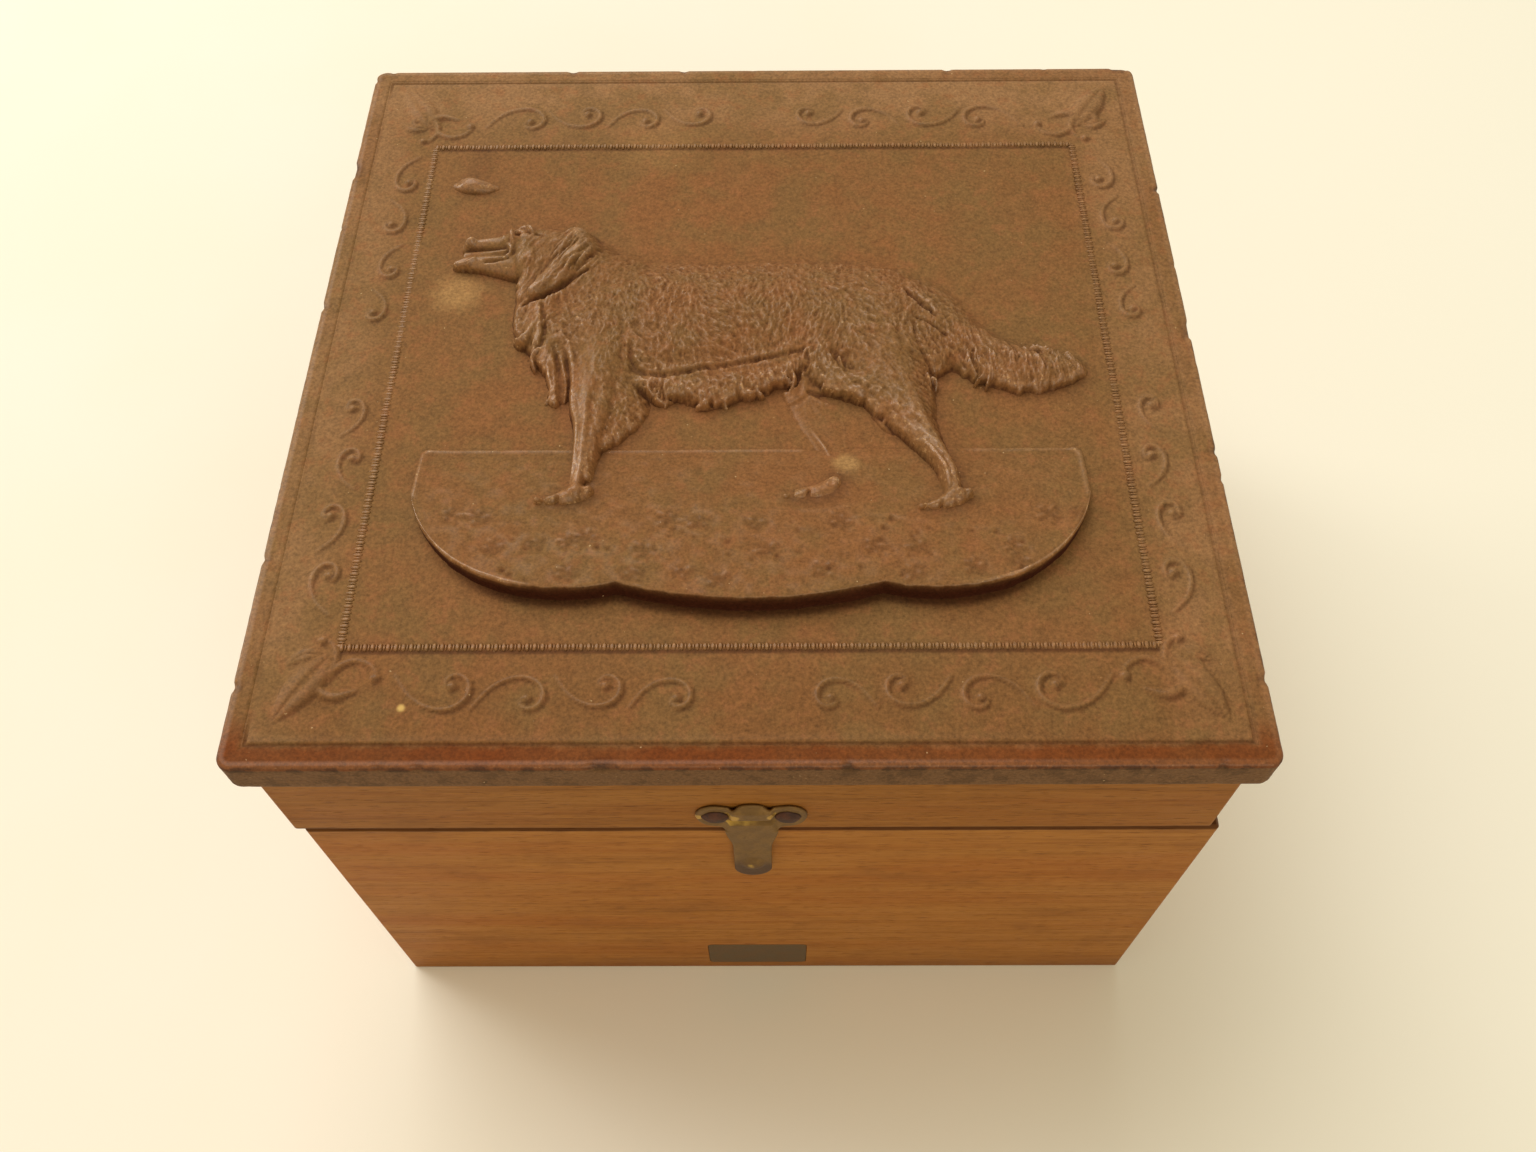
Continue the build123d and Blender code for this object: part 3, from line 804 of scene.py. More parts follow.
@dataclass(frozen=True)
class WoodFinish:
    """Straight-grained hardwood under old thin shellac outside, and bare inside."""

    name: str
    grain: Grain
    shellac: bool
    tone: float = 1.0
    seam: float = 0.0
    inner_x: Pair = (0, 0)
    inner_y: Pair = (0, 0)
    streaks: tuple[tuple[float, Colour], ...] = (
        (0.28, (131, 81, 29)), (0.46, (156, 101, 41)), (0.62, (166, 111, 50)), (0.8, (139, 85, 33)),
    )
    russet: Colour = (152, 84, 24)
    golden: Colour = (184, 126, 54)
    pore: Colour = (98, 50, 16)
    grimy: Colour = (118, 74, 36)
    smudged: Colour = (134, 86, 42)
    seam_shadow: Colour = (74, 38, 16)
    bare_light: Colour = (166, 122, 74)
    bare_dark: Colour = (150, 104, 58)
    bare_pore: Colour = (108, 68, 34)

    def material(self) -> bpy.types.Material:
        """Build the finish: streaks and pores, bare, or under shellac with grime, smudges and a painted
        shadow along the seam.

        Returns:
            The new material.
        """
        tree = Tree(self.name)
        streaks = tree.noise(self.grain.sizes(46, 1.5), 5, 0.62)
        fine = tree.noise(self.grain.sizes(9, 0.32), 3, 0.6, 8)
        pores = tree.noise(self.grain.sizes(3.6, 0.22), 2, 0.5, 2)
        bare = tree.mix(streaks.above(0.3, 0.7), self.bare_light, self.bare_dark)
        colour = tree.mix(pores.above(0.6, 0.7) * 0.4, bare, self.bare_pore)
        rough = 0.66 + streaks * 0.14
        if self.shellac:
            height = tree.axis("Z")
            inside = tree.axis("X").between(self.inner_x, 0.2) * tree.axis("Y").between(self.inner_y, 0.2)
            smudge = tree.noise((16, 16, 9), 4, 0.6, 6)
            broad = tree.noise(self.grain.sizes(120, 11), 3, 0.55, 4)
            from_seam = abs(height - self.seam + (smudge - 0.5) * 0.8)
            outside = tree.layered(
                tree.ramp(streaks, self.streaks),
                (broad.above(0.4, 0.68) * 0.5, self.russet),
                (fine.above(0.5, 0.72) * 0.45, self.golden),
                (pores.above(0.6, 0.7) * 0.6, self.pore),
                ((1 - (height + smudge * 14).above(6, 16)) * 0.5, self.grimy),
                (smudge.above(0.5, 0.7) * 0.45, self.smudged),
                # painted shadow: a dark line along the seam between the lid and the base
                ((1 - from_seam.above(0.55, 1.15)) * 0.8, self.seam_shadow),
            )
            colour = tree.mix(inside, tree.scaled(outside, self.tone), colour)
            rough = 0.44 + smudge * 0.2 + inside * 0.2
        height = fine * 0.45 + streaks * 0.35 + (1 - pores.above(0.58, 0.72)) * 0.5
        inputs = {"Base Color": colour, "Roughness": rough, "Normal": tree.bump(height, 0.11)}
        return tree.finish(inputs | {"Specular IOR Level": 0.1})


@dataclass(frozen=True)
class BrassFinish:
    """Old brass: olive brown tarnish that has been rubbed bright in places, with a painted highlight where
    the hasp's mark says so.
    """

    name: str
    marked: bool
    tarnish: Colour = (108, 79, 38)
    olive: Colour = (122, 90, 42)
    dark: Colour = (66, 44, 26)
    end_darkening: Colour = (66, 40, 27)
    bright: Colour = (188, 152, 74)

    def material(self) -> bpy.types.Material:
        """Build the finish: mottled tarnish, with bright metal where the mark says so; on the hasp that mark
        also holds a painted highlight on the dome.

        Returns:
            The new material.
        """
        tree = Tree(self.name)
        mottle = tree.noise(2.6, 5, 0.62)
        fine = tree.noise(0.4, 3, 0.6, 5)
        colour = tree.layered(
            tree.mix(mottle.above(0.4, 0.62), self.tarnish, self.olive),
            (mottle.above(0.58, 0.72) * 0.5, self.dark),
            (fine.above(0.55, 0.75) * 0.4, self.dark),
        )
        bright = mottle.above(0.6, 0.7) * 0.12
        if self.marked:
            # darker towards the tongue's tip and the ears' outer edges
            colour = tree.mix(tree.mark("dark") * 0.8, colour, self.end_darkening)
            bright = (tree.mark("bright") + (mottle - 0.5) * 0.9).above(0.3, 0.75)
        return tree.finish({
            "Base Color": tree.mix(bright, colour, self.bright),
            "Metallic": 0.55 + bright * 0.4,
            "Roughness": 0.5 - bright * 0.16 + fine * 0.1,
            "Normal": tree.bump(fine * 0.6 + mottle * 0.4, 0.07),
        })


@dataclass(frozen=True)
class DarkMetalFinish:
    """Dark metal: rusted iron, or a painted plate whose paint has worn."""

    name: str
    base: Colour
    rust: Colour
    metal: float
    pit: Colour = (40, 26, 18)

    def material(self) -> bpy.types.Material:
        """Build the finish: a dark ground with clouds of rust and fine pitting.

        Returns:
            The new material.
        """
        tree = Tree(self.name)
        clouds = tree.noise(3.2, 5, 0.65)
        pits = tree.noise(0.5, 3, 0.6, 4)
        colour = tree.mix(clouds.above(0.42, 0.64), self.base, self.rust)
        return tree.finish({
            "Base Color": tree.mix(pits.above(0.56, 0.7) * 0.5, colour, self.pit),
            "Metallic": self.metal,
            "Roughness": 0.5 + clouds * 0.2,
            "Normal": tree.bump(pits * 0.7 + clouds * 0.3, 0.1),
        })


# The moulded plate


class Side(Enum):
    """A border of the plate, with the way in from its edge as x and y."""

    FRONT = (0, 1)
    BACK = (0, -1)
    LEFT = (1, 0)
    RIGHT = (-1, 0)


@dataclass(frozen=True)
class Scroll:
    """One scroll of the border: it runs in, bulges to one side of its dot and curls round it."""

    dot: float
    bulge: int
    size: float
    radius: float = 4.5
    tightening: float = 3.4
    run_in: float = 5.0
    run_in_rate: float = 9.5
    first_angle: float = 168
    sweep: float = 372
    offset: float = 1.1
    half: Pair = (0.3, 0.36)
    rise: Pair = (0.2, 0.26)

    def stations(self) -> Array:
        """The scroll's line, thickest half way along.

        Its distance from the dot falls steadily with the turn, plus a run-in that dies away.

        Returns:
            Rows of place along, place inward from the middle line, half width and height.
        """
        turn = np.linspace(0, 1, 18)
        spiral = self.radius - self.tightening * turn + self.run_in * np.exp(-turn * self.run_in_rate)
        angle = np.radians(self.first_angle + self.sweep * turn)
        along = self.dot + self.size * spiral * np.cos(angle)
        inward = -self.bulge * (self.size * spiral * np.sin(angle) + self.offset)
        body = np.sin(unit(turn * 1.05) * math.pi) ** 0.8
        return np.stack([along, inward, *(low + more * body for low, more in (self.half, self.rise))], 1)


@dataclass
class MouldedPlate:
    """The lid's thick plate: its edge, border ornament, beads, mound and dog.

    The border ornament is drawn once, from a corner to the middle of a side, and turned into
    all eight places. Its first number runs along the side and its second in from the middle
    line of the scrolls, or from the edge in the corner leaves. Then come half width and height.
    """

    width: float
    depth: float
    top: float
    bottom: float
    corner: float = 2.4
    least_corner: float = 0.15
    top_edge: float = 0.7
    under_edge: float = 1.4
    edge_pitch: float = 0.55
    band: float = 3.7
    groove: float = 0.8
    groove_depth: float = 0.34
    border_side: float = 16.1
    border_front: float = 21.2
    border_back: float = 24.6
    bed: float = 1.2
    lap: float = 0.05
    seat: float = 0.02
    fine: float = 0.37
    groove_pitch: float = 0.16
    panel_pitch: float = 0.62
    bead_pitch: float = 1.25
    bead_half: Pair = (0.4, 0.85)
    bead_rise: float = 0.45
    row_rises: Pair = (0.5, 0.9)
    crescent: tuple[Row, ...] = ((12.8, 3.2, 0.5, 0.2), (13.9, 0.5, 1, 0.5), (16.6, -0.7, 1.1, 0.55),
                                 (19.8, 0.4, 0.4, 0.2))
    hook: tuple[Row, ...] = ((15.2, 1.8, 0.3, 0.15), (16, 4.3, 0.8, 0.42), (18.6, 5.8, 0.75, 0.4),
                             (21.3, 5.1, 0.6, 0.32), (22.8, 3.4, 0.5, 0.2))
    leaf: tuple[Row, ...] = ((14.6, 18.2, 0.8, 0.3), (12.3, 14.4, 2.9, 0.75), (9.9, 10.6, 2.4, 0.7),
                             (7.4, 6.4, 0.12, 0.1))
    petal: tuple[Row, ...] = ((13, 18.8, 0.4, 0.2), (10.6, 18.4, 1.4, 0.55), (8, 16.8, 0.2, 0.12))
    leaf_rib: float = 0.22
    front_leaf_shift: float = 1.5
    first_dot: Pair = (22.6, 2.6)
    dot_radius: float = 0.95
    dot_rise: float = 0.62
    scroll_dots: tuple[float, ...] = (35, 47, 59.3, 70.6)
    scroll_shrink: float = 0.07
    front_right_shift: float = -1.3
    narrow_side: float = 0.82
    scroll_centres: dict[Side, float] = field(
        default_factory=lambda: {Side.FRONT: 13.1, Side.BACK: 15.6, Side.LEFT: 11, Side.RIGHT: 11}
    )

    def __post_init__(self) -> None:
        """Work out the lines that the pieces of the plate share."""
        self.half_width, self.half_depth = self.width / 2, self.depth / 2
        self.panel_x = self.half_width - self.border_side
        self.panel_front = -self.half_depth + self.border_front
        self.panel_back = self.half_depth - self.border_back
        self.mound = Mound(self.top)

    def build(self) -> list[bpy.types.Object]:
        """Make every piece of the plate and put it on the lid.

        Returns:
            The new objects.
        """
        finish = MouldedFinish(self.half_width, self.half_depth, self.top).material()
        dog = Dog(self.top)
        shape = dog.modelled()
        # how near the dog is, used for its painted shadow on the panel and the mound
        near = blurred((shape.height > 0.5).astype(float), 5)
        pieces = [
            self.moulding().piece("plate_edge", finish),
            self.border().piece("plate_border", finish),
            self.panel(shape, near).piece("plate_panel", finish),
            self.beads().piece("plate_beads", finish),
            self.mound.surface(shape, near).piece("plate_mound", finish),
            dog.surface(shape).piece("plate_dog", finish),
        ]
        for piece in pieces:
            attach(piece, "lid")
            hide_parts("relief_plate")
        return pieces

    def outline(self, inset: float) -> tuple[Array, Array]:
        """Points and outward directions round a rectangle with round corners.

        Args:
            inset: How far inside the plate's edge it runs.

        Returns:
            The points and their outward directions.
        """
        radius = max(self.corner - inset, self.least_corner)
        straight_x, straight_y = self.half_width - inset - radius, self.half_depth - inset - radius
        turn = np.linspace(0, math.pi / 2, 9)
        ways, middles = [], []
        for quarter, (x, y) in enumerate(((1, 1), (-1, 1), (-1, -1), (1, -1))):
            angle = turn + quarter * math.pi / 2
            arc = np.stack([np.cos(angle), np.sin(angle)], 1)
            centre = np.array([x * straight_x, y * straight_y])
            run = 2 * (straight_x if quarter % 2 == 0 else straight_y)
            length = 2 * (self.half_width if quarter % 2 == 0 else self.half_depth)
            steps = np.linspace(0, run, round(length / self.edge_pitch) + 1)[1:-1, None]
            forward = np.array([-arc[-1, 1], arc[-1, 0]])
            ways += [arc, np.repeat(arc[-1:], len(steps), 0)]
            middles += [np.repeat(centre[None], len(arc), 0), centre + steps * forward]
        ways, middles = np.concatenate(ways), np.concatenate(middles)
        return middles + ways * radius, ways

    def moulding(self) -> Surface:
        """The plate's edge: its section carried round the outline, rippled and chipped by noise.

        Returns:
            The closed surface.
        """
        height = self.top - self.bottom
        quarter = np.linspace(0, math.pi / 2, 5)
        over = [(self.top_edge * (1 - math.sin(a)), self.top_edge * (1 - math.cos(a))) for a in quarter]
        under = [(self.under_edge * (1 - math.cos(a)), height - self.under_edge * (1 - math.sin(a)))
                 for a in quarter]
        side = [(0, down) for down in np.linspace(self.top_edge, height - self.under_edge, 9)[1:-1]]
        inner = self.band - self.lap
        flat = [(inset, 0) for inset in (inner, 2.9, 2.2, 1.5, 1)]
        rows = [(inner, self.bed), *flat, *over, *side, *under, (self.band, height)]
        ways = self.outline(0)[1]
        inset, down = np.array(rows).T[:, :, None]
        run = np.arange(len(ways))[None, :] * self.edge_pitch
        ripple = 0.05 * value_noise(run, down, 2.2, 3) + 0.035 * value_noise(run, down, 0.8, 4)
        chip = unit(value_noise(run, down * 0.3, 3.1, 5) - 0.52) * 1.2
        chip = chip * np.exp(-((down - 0.45) ** 2) / 0.35) * (inset < 1.6)
        on_side = unit((down - 0.1) / 0.6) * unit(height - down)
        sink = unit(on_side * (ripple + 0.02) + chip * 0.55)
        points = np.empty((*chip.shape, 3))
        points[..., :2] = np.stack([self.outline(row[0])[0] for row in rows]) - ways * sink[..., None]
        points[..., 2] = self.top - down - chip * 0.5
        rubbed = np.exp(-((down - 0.15) ** 2) / 0.08) * (inset < 1.2) * 0.4
        marks = {"raised": np.broadcast_to(rubbed, chip.shape), "hollow": unit(chip * 1.4)}
        return capped_rings(points, marks)

    def placed(self, side: Side, flip: int, along: Array, inward: Array) -> Array:
        """Turn places of the ornament's drawing to one half of one side of the plate.

        Args:
            side: The side.
            flip: 1 for the side's left or front half, or -1.
            along: Places along the side.
            inward: Their distances from the edge.

        Returns:
            Rows of x and y.
        """
        if side in (Side.FRONT, Side.BACK):
            return np.stack([flip * (along - self.half_width), side.value[1] * (inward - self.half_depth)], 1)
        return np.stack([side.value[0] * (inward - self.half_width), flip * (along - self.half_depth)], 1)

    def ornament(self, relief: Relief) -> None:
        """Raise the scrolls, dots, curls, leaves and petals of the border.

        Args:
            relief: The border's relief.
        """
        for side, middle in self.scroll_centres.items():
            narrow = self.narrow_side if side in (Side.LEFT, Side.RIGHT) else 1.0
            for flip in (-1, 1):
                shift = self.front_right_shift if side is Side.FRONT and flip < 0 else 0.0
                strokes, dots = [np.array(self.crescent), np.array(self.hook)], [self.first_dot]
                for index, dot in enumerate(self.scroll_dots):
                    bulge = 1 if index % 2 else -1
                    scroll = Scroll(dot + shift, bulge, narrow * (1 - self.scroll_shrink * index))
                    strokes.append(scroll.stations())
                    dots.append((scroll.dot, -bulge * scroll.offset))
                for stations in strokes:
                    place = self.placed(side, flip, stations[:, 0], middle + stations[:, 1] * narrow)
                    relief.stroke(np.column_stack([place, stations[:, 2:]]), steps=3)
                along, inward = np.array(dots).T
                for x, y in self.placed(side, flip, along, middle + inward * narrow):
                    relief.dome(x, y, self.dot_radius, self.dot_rise)
        for x in (-1, 1):
            for y, shift in ((-1, 0), (1, self.front_leaf_shift)):
                for along, inward, half, rise in (np.array(shape).T for shape in (self.leaf, self.petal)):
                    place = x * (along - self.half_width), y * (inward + shift - self.half_depth)
                    relief.leaf(np.stack([*place, half, rise], 1), self.leaf_rib)

    def row_shade(self, up: Array, row: float) -> Array:
        """The painted shadow on the ground just in front of a row of beads: a bell curve, at most 1."""
        return np.exp(-(((up - row + 0.9) / 0.35) ** 2))

    def border(self) -> Surface:
        """The plate's border round the panel: ornamented, with slight waves and a groove, and painted shade
        beside the ornament, in the groove and in front of the beads.

        The groove's section is half a sine wave, and it fades towards the left and right edges.

        Returns:
            The surface, open below and at the panel.
        """
        inner_x, inner_y = self.half_width - self.band + self.lap, self.half_depth - self.band + self.lap
        strip = self.lap + self.groove
        pitches = (self.groove_pitch, self.fine, self.fine, self.fine, self.groove_pitch)
        ends_x, ends_y = (-self.panel_x, self.panel_x), (self.panel_front, self.panel_back)
        x = spaced((-inner_x, -inner_x + strip, *ends_x, inner_x - strip, inner_x), pitches)
        y = spaced((-inner_y, -inner_y + strip, *ends_y, inner_y - strip, inner_y), pitches)
        relief = Relief(x, y)
        self.ornament(relief)
        across, up = relief.across, relief.up
        # painted shade on the slopes that face the front right, away from the light, and a darker colour on
        # the crests of the scrolls and dots
        shade = 2.6 * (relief.sampled(relief.height, across - 0.35, up + 0.45) - relief.height)
        crests = unit((relief.height - 0.5) / 0.1) * (abs(across) < self.panel_x)
        stain = np.clip(shade, 0, 0.62) + 0.35 * crests
        from_edge = np.minimum(self.half_width - abs(across), self.half_depth - abs(up))
        left, right = unit((-across - abs(up)) / 6), unit((across - abs(up)) / 6)
        cut = np.sin(unit((from_edge - self.band) / self.groove) * math.pi) * (1 - 0.9 * left - 0.4 * right)
        relief.height -= self.groove_depth * cut
        # painted shadow just in front of the front row of beads
        lined = 1.1 * self.row_shade(up, self.panel_front) * (abs(across) < self.panel_x)
        waves = relief.waves(0.06, 6, 12) + relief.waves(0.03, 1.9, 13)
        relief.height += waves * unit((from_edge - 5.2) / 2)
        # the groove is darkened as painted shade too
        marks = {"raised": 0.3 * relief.marks((3, 0.4))["raised"], "hollow": unit(stain + 0.5 * cut + lined)}
        middle_x, middle_y = (x[1:] + x[:-1])[None, :] / 2, (y[1:] + y[:-1])[:, None] / 2
        keep = (abs(middle_x) > self.panel_x) | (middle_y < self.panel_front) | (middle_y > self.panel_back)
        return relief.carved(keep, marks, self.top, self.top - self.bed + self.seat)

    def panel(self, shape: Relief, near: Array) -> Surface:
        """The sunk ground behind the dog: slightly waved, with painted shadow beside the dog, in front of the
        mound's edge and in front of the back row of beads.

        Args:
            shape: The dog's relief.
            near: How near the dog is, over its grid.

        Returns:
            The closed surface.
        """
        y = spaced((self.panel_front, self.panel_back - 2, self.panel_back), (self.panel_pitch, 0.2))
        relief = Relief(spaced((-self.panel_x, self.panel_x), (self.panel_pitch,)), y)
        across, up = relief.across, relief.up
        relief.height = relief.waves(0.09, 9, 21) + relief.waves(0.04, 2.2, 22)
        # painted shadow: a band just in front of the mound's edge
        below = self.mound.edge(np.minimum(across, self.mound.half - 0.2)) - up
        foot = unit(1.7 - below / 1.2) * unit(5 - abs(across) / 10.5) * (below > -2)
        # painted shadow in front of the back row of beads and to the front right of the dog
        beside = 0.8 * self.row_shade(up, self.panel_back) + 0.5 * shape.sampled(near, across - 0.9, up + 1.1)
        marks = {"raised": np.zeros_like(up), "hollow": np.maximum(beside, foot)}
        top = np.stack([across, up, self.top - 0.04 + relief.height], -1)
        return closed_sheet(top, marks, self.top - self.bed + self.seat)

    def beads(self) -> Surface:
        """The rows round the panel: wide beads with narrow reels between, along its four edges.

        A bead is half a ball, stretched to its size. Noise wears some of them lower.

        Returns:
            All the beads as one surface.
        """
        around = np.linspace(0, 2 * math.pi, 8, endpoint=False)[None, :]
        level = np.array([-0.35, 0, 0.5, 0.9])[:, None]
        spread = np.sqrt(1 - unit(level) ** 2)
        rings = np.broadcast_arrays(spread * np.cos(around), spread * np.sin(around), level)
        bead = capped_rings(np.stack(rings, -1))
        x, low, high = self.panel_x, self.panel_front, self.panel_back
        lines = [((-x, low), (x, low), 1), ((-x, high), (x, high), 1),
                 ((-x, low), (-x, high), self.row_rises[0]), ((x, low), (x, high), self.row_rises[1])]
        made = []
        for seed, (start, end, rise) in enumerate(lines):
            run = np.array(end) - start
            number = 2 * round(np.hypot(*run) / self.bead_pitch)
            centres = start + (np.arange(number) + 0.5)[:, None] / number * run
            worn = 1 - 0.5 * unit(value_noise(*centres.T, 7, 30 + seed) + 0.15)
            narrow = np.where(np.arange(number) % 2 == 0, 1, 0.5)
            along, aside = self.bead_half[0] * narrow, self.bead_half[1] * (0.6 + 0.4 * narrow)
            tall = self.bead_rise * rise * worn * (0.5 + 0.5 * narrow)
            size = np.stack([along, aside, tall] if run[0] else [aside, along, tall], 1)
            points = bead.points[None] * size[:, None, :]
            points += np.column_stack([centres, np.full(number, self.top - 0.02)])[:, None, :]
            base = np.arange(number) * len(bead.points)
            level = np.tile(bead.points[:, 2], number)
            # painted highlight on the beads' tops and painted shade at their feet
            marks = {"raised": unit(level) * 0.5, "hollow": np.clip(0.55 - level, 0, 0.6) * rise}
            quads = (bead.quads[None] + base[:, None, None]).reshape(-1, 4)
            caps = [cap + first for first in base for cap in bead.caps]
            made.append(Surface(points.reshape(-1, 3), quads, caps, marks))
        return joined(made)


@dataclass
class Mound:
    """The ground under the dog: a scalloped slab that rises from the panel to its front."""

    top: float
    half: float = 58.2
    back: float = -21.2
    front: float = -54.4
    height: float = 4.0
    crown: float = 0.7
    shoulder_y: float = -32.4
    cheek: Pair = (53.5, -42.2)
    heel: Pair = (42.5, -50.2)
    lobe: Pair = (32, -52.3)
    cusp: Pair = (22, -51.2)
    foot: float = 0.4
    lip: float = 0.45
    pitch: float = 0.36
    lip_rows: tuple[Pair, ...] = ((0.38, 0.07), (0.72, 0.28), (0.93, 0.62), (1, 1.1))
    wall_rows: tuple[float, ...] = (0.35, 0.7, 1)
    # the lip's painted highlight (shine) and painted shade (shade), and the wall's painted shade
    shine: tuple[Row, Row] = ((0.4, 0, 0, 0), (1.6, 2, 1.2, 0))
    shade: tuple[Row, Row] = ((0, 0.7, 1, 1.2), (0, 0, 0.2, 0.9))
    wall_shade: float = 1.33
    rim_half: float = 0.5
    seed: int = 7
    pits: int = 60
    blossoms: tuple[Pair, ...] = (
        (-50.8, -36.6), (-45.9, -37.2), (-42.6, -43.6), (-36, -43.2), (-30, -42.6), (-27.2, -41.8),
        (-17.4, -44.4), (-13.7, -37.6), (-8.6, -38.4), (1, -38.8), (15.2, -38.2), (3, -44.4), (20.6, -43.8),
        (28.2, -43.8), (43.6, -43.8), (50.4, -36.9), (56, -36.9), (36.8, -48), (12.2, -48.6), (-19, -49.2),
        (-30.2, -49.2), (-5, -50.6), (27, -49.4), (-11, -49), (44.6, -46.6),
    )
    ridges: tuple[tuple[Row, ...], ...] = (
        ((4, -35.6, 0.4, 0.04), (12, -36.2, 0.6, 0.08), (18, -34.6, 0.5, 0.04)),
        ((14, -38.6, 0.4, 0.03), (22, -37.2, 0.6, 0.08), (32, -39.2, 0.7, 0.08), (44, -40.6, 0.5, 0.02)),
    )

    def arc(self, x: Array, a: Row, b: Row, c: Row) -> Array:
        """The lower side of the circle through three points.

        Its middle is where the lines half way between the points cross.

        Args:
            x: The places across.
            a, b, c: The three points.

        Returns:
            The circle's y.
        """
        (ax, ay), (bx, by), (cx, cy) = a, b, c
        scale = 2 * (ax * (by - cy) + bx * (cy - ay) + cx * (ay - by))
        first, second, third = ax**2 + ay**2, bx**2 + by**2, cx**2 + cy**2
        middle_x = (first * (by - cy) + second * (cy - ay) + third * (ay - by)) / scale
        middle_y = (first * (cx - bx) + second * (ax - cx) + third * (bx - ax)) / scale
        radius = math.hypot(ax - middle_x, ay - middle_y)
        return middle_y - np.sqrt(np.clip(radius**2 - (x - middle_x) ** 2, 0, None))

    def edge(self, x: Array) -> Array:
        """The mound's front edge: one arc in the middle and two on each side of it.

        Args:
            x: The places across.

        Returns:
            The edge's y.
        """
        size = abs(x)
        middle = self.arc(size, (-self.cusp[0], self.cusp[1]), (0, self.front), self.cusp)
        inner = self.arc(size, self.cusp, self.lobe, self.heel)
        outer = self.arc(size, self.heel, self.cheek, (self.half, self.shoulder_y))
        return np.where(size < self.cusp[0], middle, np.where(size < self.heel[0], inner, outer))

    def level(self, y: Array) -> Array:
        """The mound's height at a distance from the front: a slope with a slight crown."""
        share = (self.back - y) / (self.back - self.front)
        return self.height * share + 4 * self.crown * share * (1 - share)

    def surface(self, shape: Relief, near: Array) -> Surface:
        """The slab: a grid from its back line to its front edge, with a rounded lip and a wall.

        The lip and the wall are roughened by noise. The lip has a painted highlight at both ends, the lip and
        the wall have painted shade, and the dog's painted shadow falls on the ground.

        Args:
            shape: The dog's relief.
            near: How near the dog is, over its grid.

        Returns:
            The closed surface.
        """
        ends = self.half - np.geomspace(0.02, 3, 14)[::-1]
        x = np.concatenate([-ends, np.arange(-55, 55, self.pitch), ends, [-self.half, self.half]])
        x = np.unique(np.round(x, 4))
        ground, marks = self.ground()
        rows = round((self.back - self.front) / self.pitch)
        edge = self.edge(x)[None, :]
        y = self.back + np.linspace(0, 1, rows)[:, None] * (edge + self.lip - self.back)
        across = np.broadcast_to(x, y.shape)
        rise = self.level(y) + ground.sampled(ground.height, across, y)
        lips = [np.maximum(rise[-1:] - down, -self.foot) for _, down in self.lip_rows]
        walls = [lips[-1] * (1 - part) - self.foot * part for part in self.wall_rows]
        found = {key: ground.sampled(value, across, y) for key, value in marks.items()}
        # the dog's painted shadow, cast to its front right
        found["hollow"] = np.maximum(found["hollow"], shape.sampled(near, across - 0.7, y + 0.9) * 0.6)
        # where the lip's painted highlight goes: its outer ends
        lit = unit(abs(x) / 8 - 4.4) * (0.75 + 0.25 * value_noise(x, x * 0, 2, 46))
        shine, shade = (np.array(dull)[:, None] * (1 - lit) + np.array(bright)[:, None] * lit
                        for dull, bright in (self.shine, self.shade))
        found["raised"][-1:] = np.maximum(found["raised"][-1:], 1.8 * lit)
        found["hollow"][-1:] *= 1 - lit
        plain = np.ones((len(walls), len(x)))
        values = {"raised": np.concatenate([found["raised"], shine, plain * 0]),
                  "hollow": np.concatenate([found["hollow"], shade, plain * self.wall_shade])}
        outs = [edge + self.lip - self.lip * out for out, _ in self.lip_rows]
        y, z = np.concatenate([y, *outs, *[edge] * len(walls)]), np.concatenate([rise, *lips, *walls])
        across = np.broadcast_to(x, y.shape)
        rough = 0.12 * value_noise(across, z, 1.6, 41) + 0.08 * value_noise(across, z, 0.6, 42)
        y = y + np.where(np.arange(len(y))[:, None] >= rows, rough, 0)
        return closed_sheet(np.stack([across, y, self.top + z], -1), values, self.top - self.foot)

    def ground(self) -> tuple[Relief, Marks]:
        """The ground's relief, with blossoms, pits, low ridges and a rim pressed into it.

        A blossom is three to five short petals round a shallow pit, each with a furrow below.

        Returns:
            The relief and its marks.
        """
        ground = Relief(np.arange(-self.half - 1, self.half + 1, self.pitch),
                        np.arange(self.front - 1, self.back + 1, self.pitch))
        draw = np.random.default_rng(self.seed)
        ground.height = ground.waves(0.07, 4, 43) + ground.waves(0.05, 1.3, 44)
        for middle in self.blossoms:
            first = draw.uniform(0, 2 * math.pi)
            petals = int(draw.integers(3, 6))
            for petal in range(petals):
                angle = first + petal * 2 * math.pi / petals + draw.uniform(-0.25, 0.25)
                reach = draw.uniform(0.9, 2.5)
                way = np.array([math.cos(angle), math.sin(angle) * 0.8])
                near, far = middle + way * 0.4, middle + way * reach
                halfway = (near + far) / 2
                ground.stroke([(*near, 0.3, 0.06), (*halfway, 0.6, 0.22), (*far, 0.35, 0.16)], True, 3)
                below, beyond = near + (0.5, -0.5), far + (0.4, -0.7)
                ground.stroke([(*below, 0.5, -0.08), (*beyond, 0.6, -0.16)], True, 2)
            ground.dome(middle[0] + 0.2, middle[1] - 0.4, 2.3, -0.16, True)
        for _ in range(self.pits):
            x, y = draw.uniform(-54, 54), draw.uniform(-51, -38)
            ground.dome(x, y, draw.uniform(0.3, 0.7), -draw.uniform(0.15, 0.45), True)
        ground.add_strokes(self.ridges)
        end, line = self.half - 0.5, self.back - 0.5
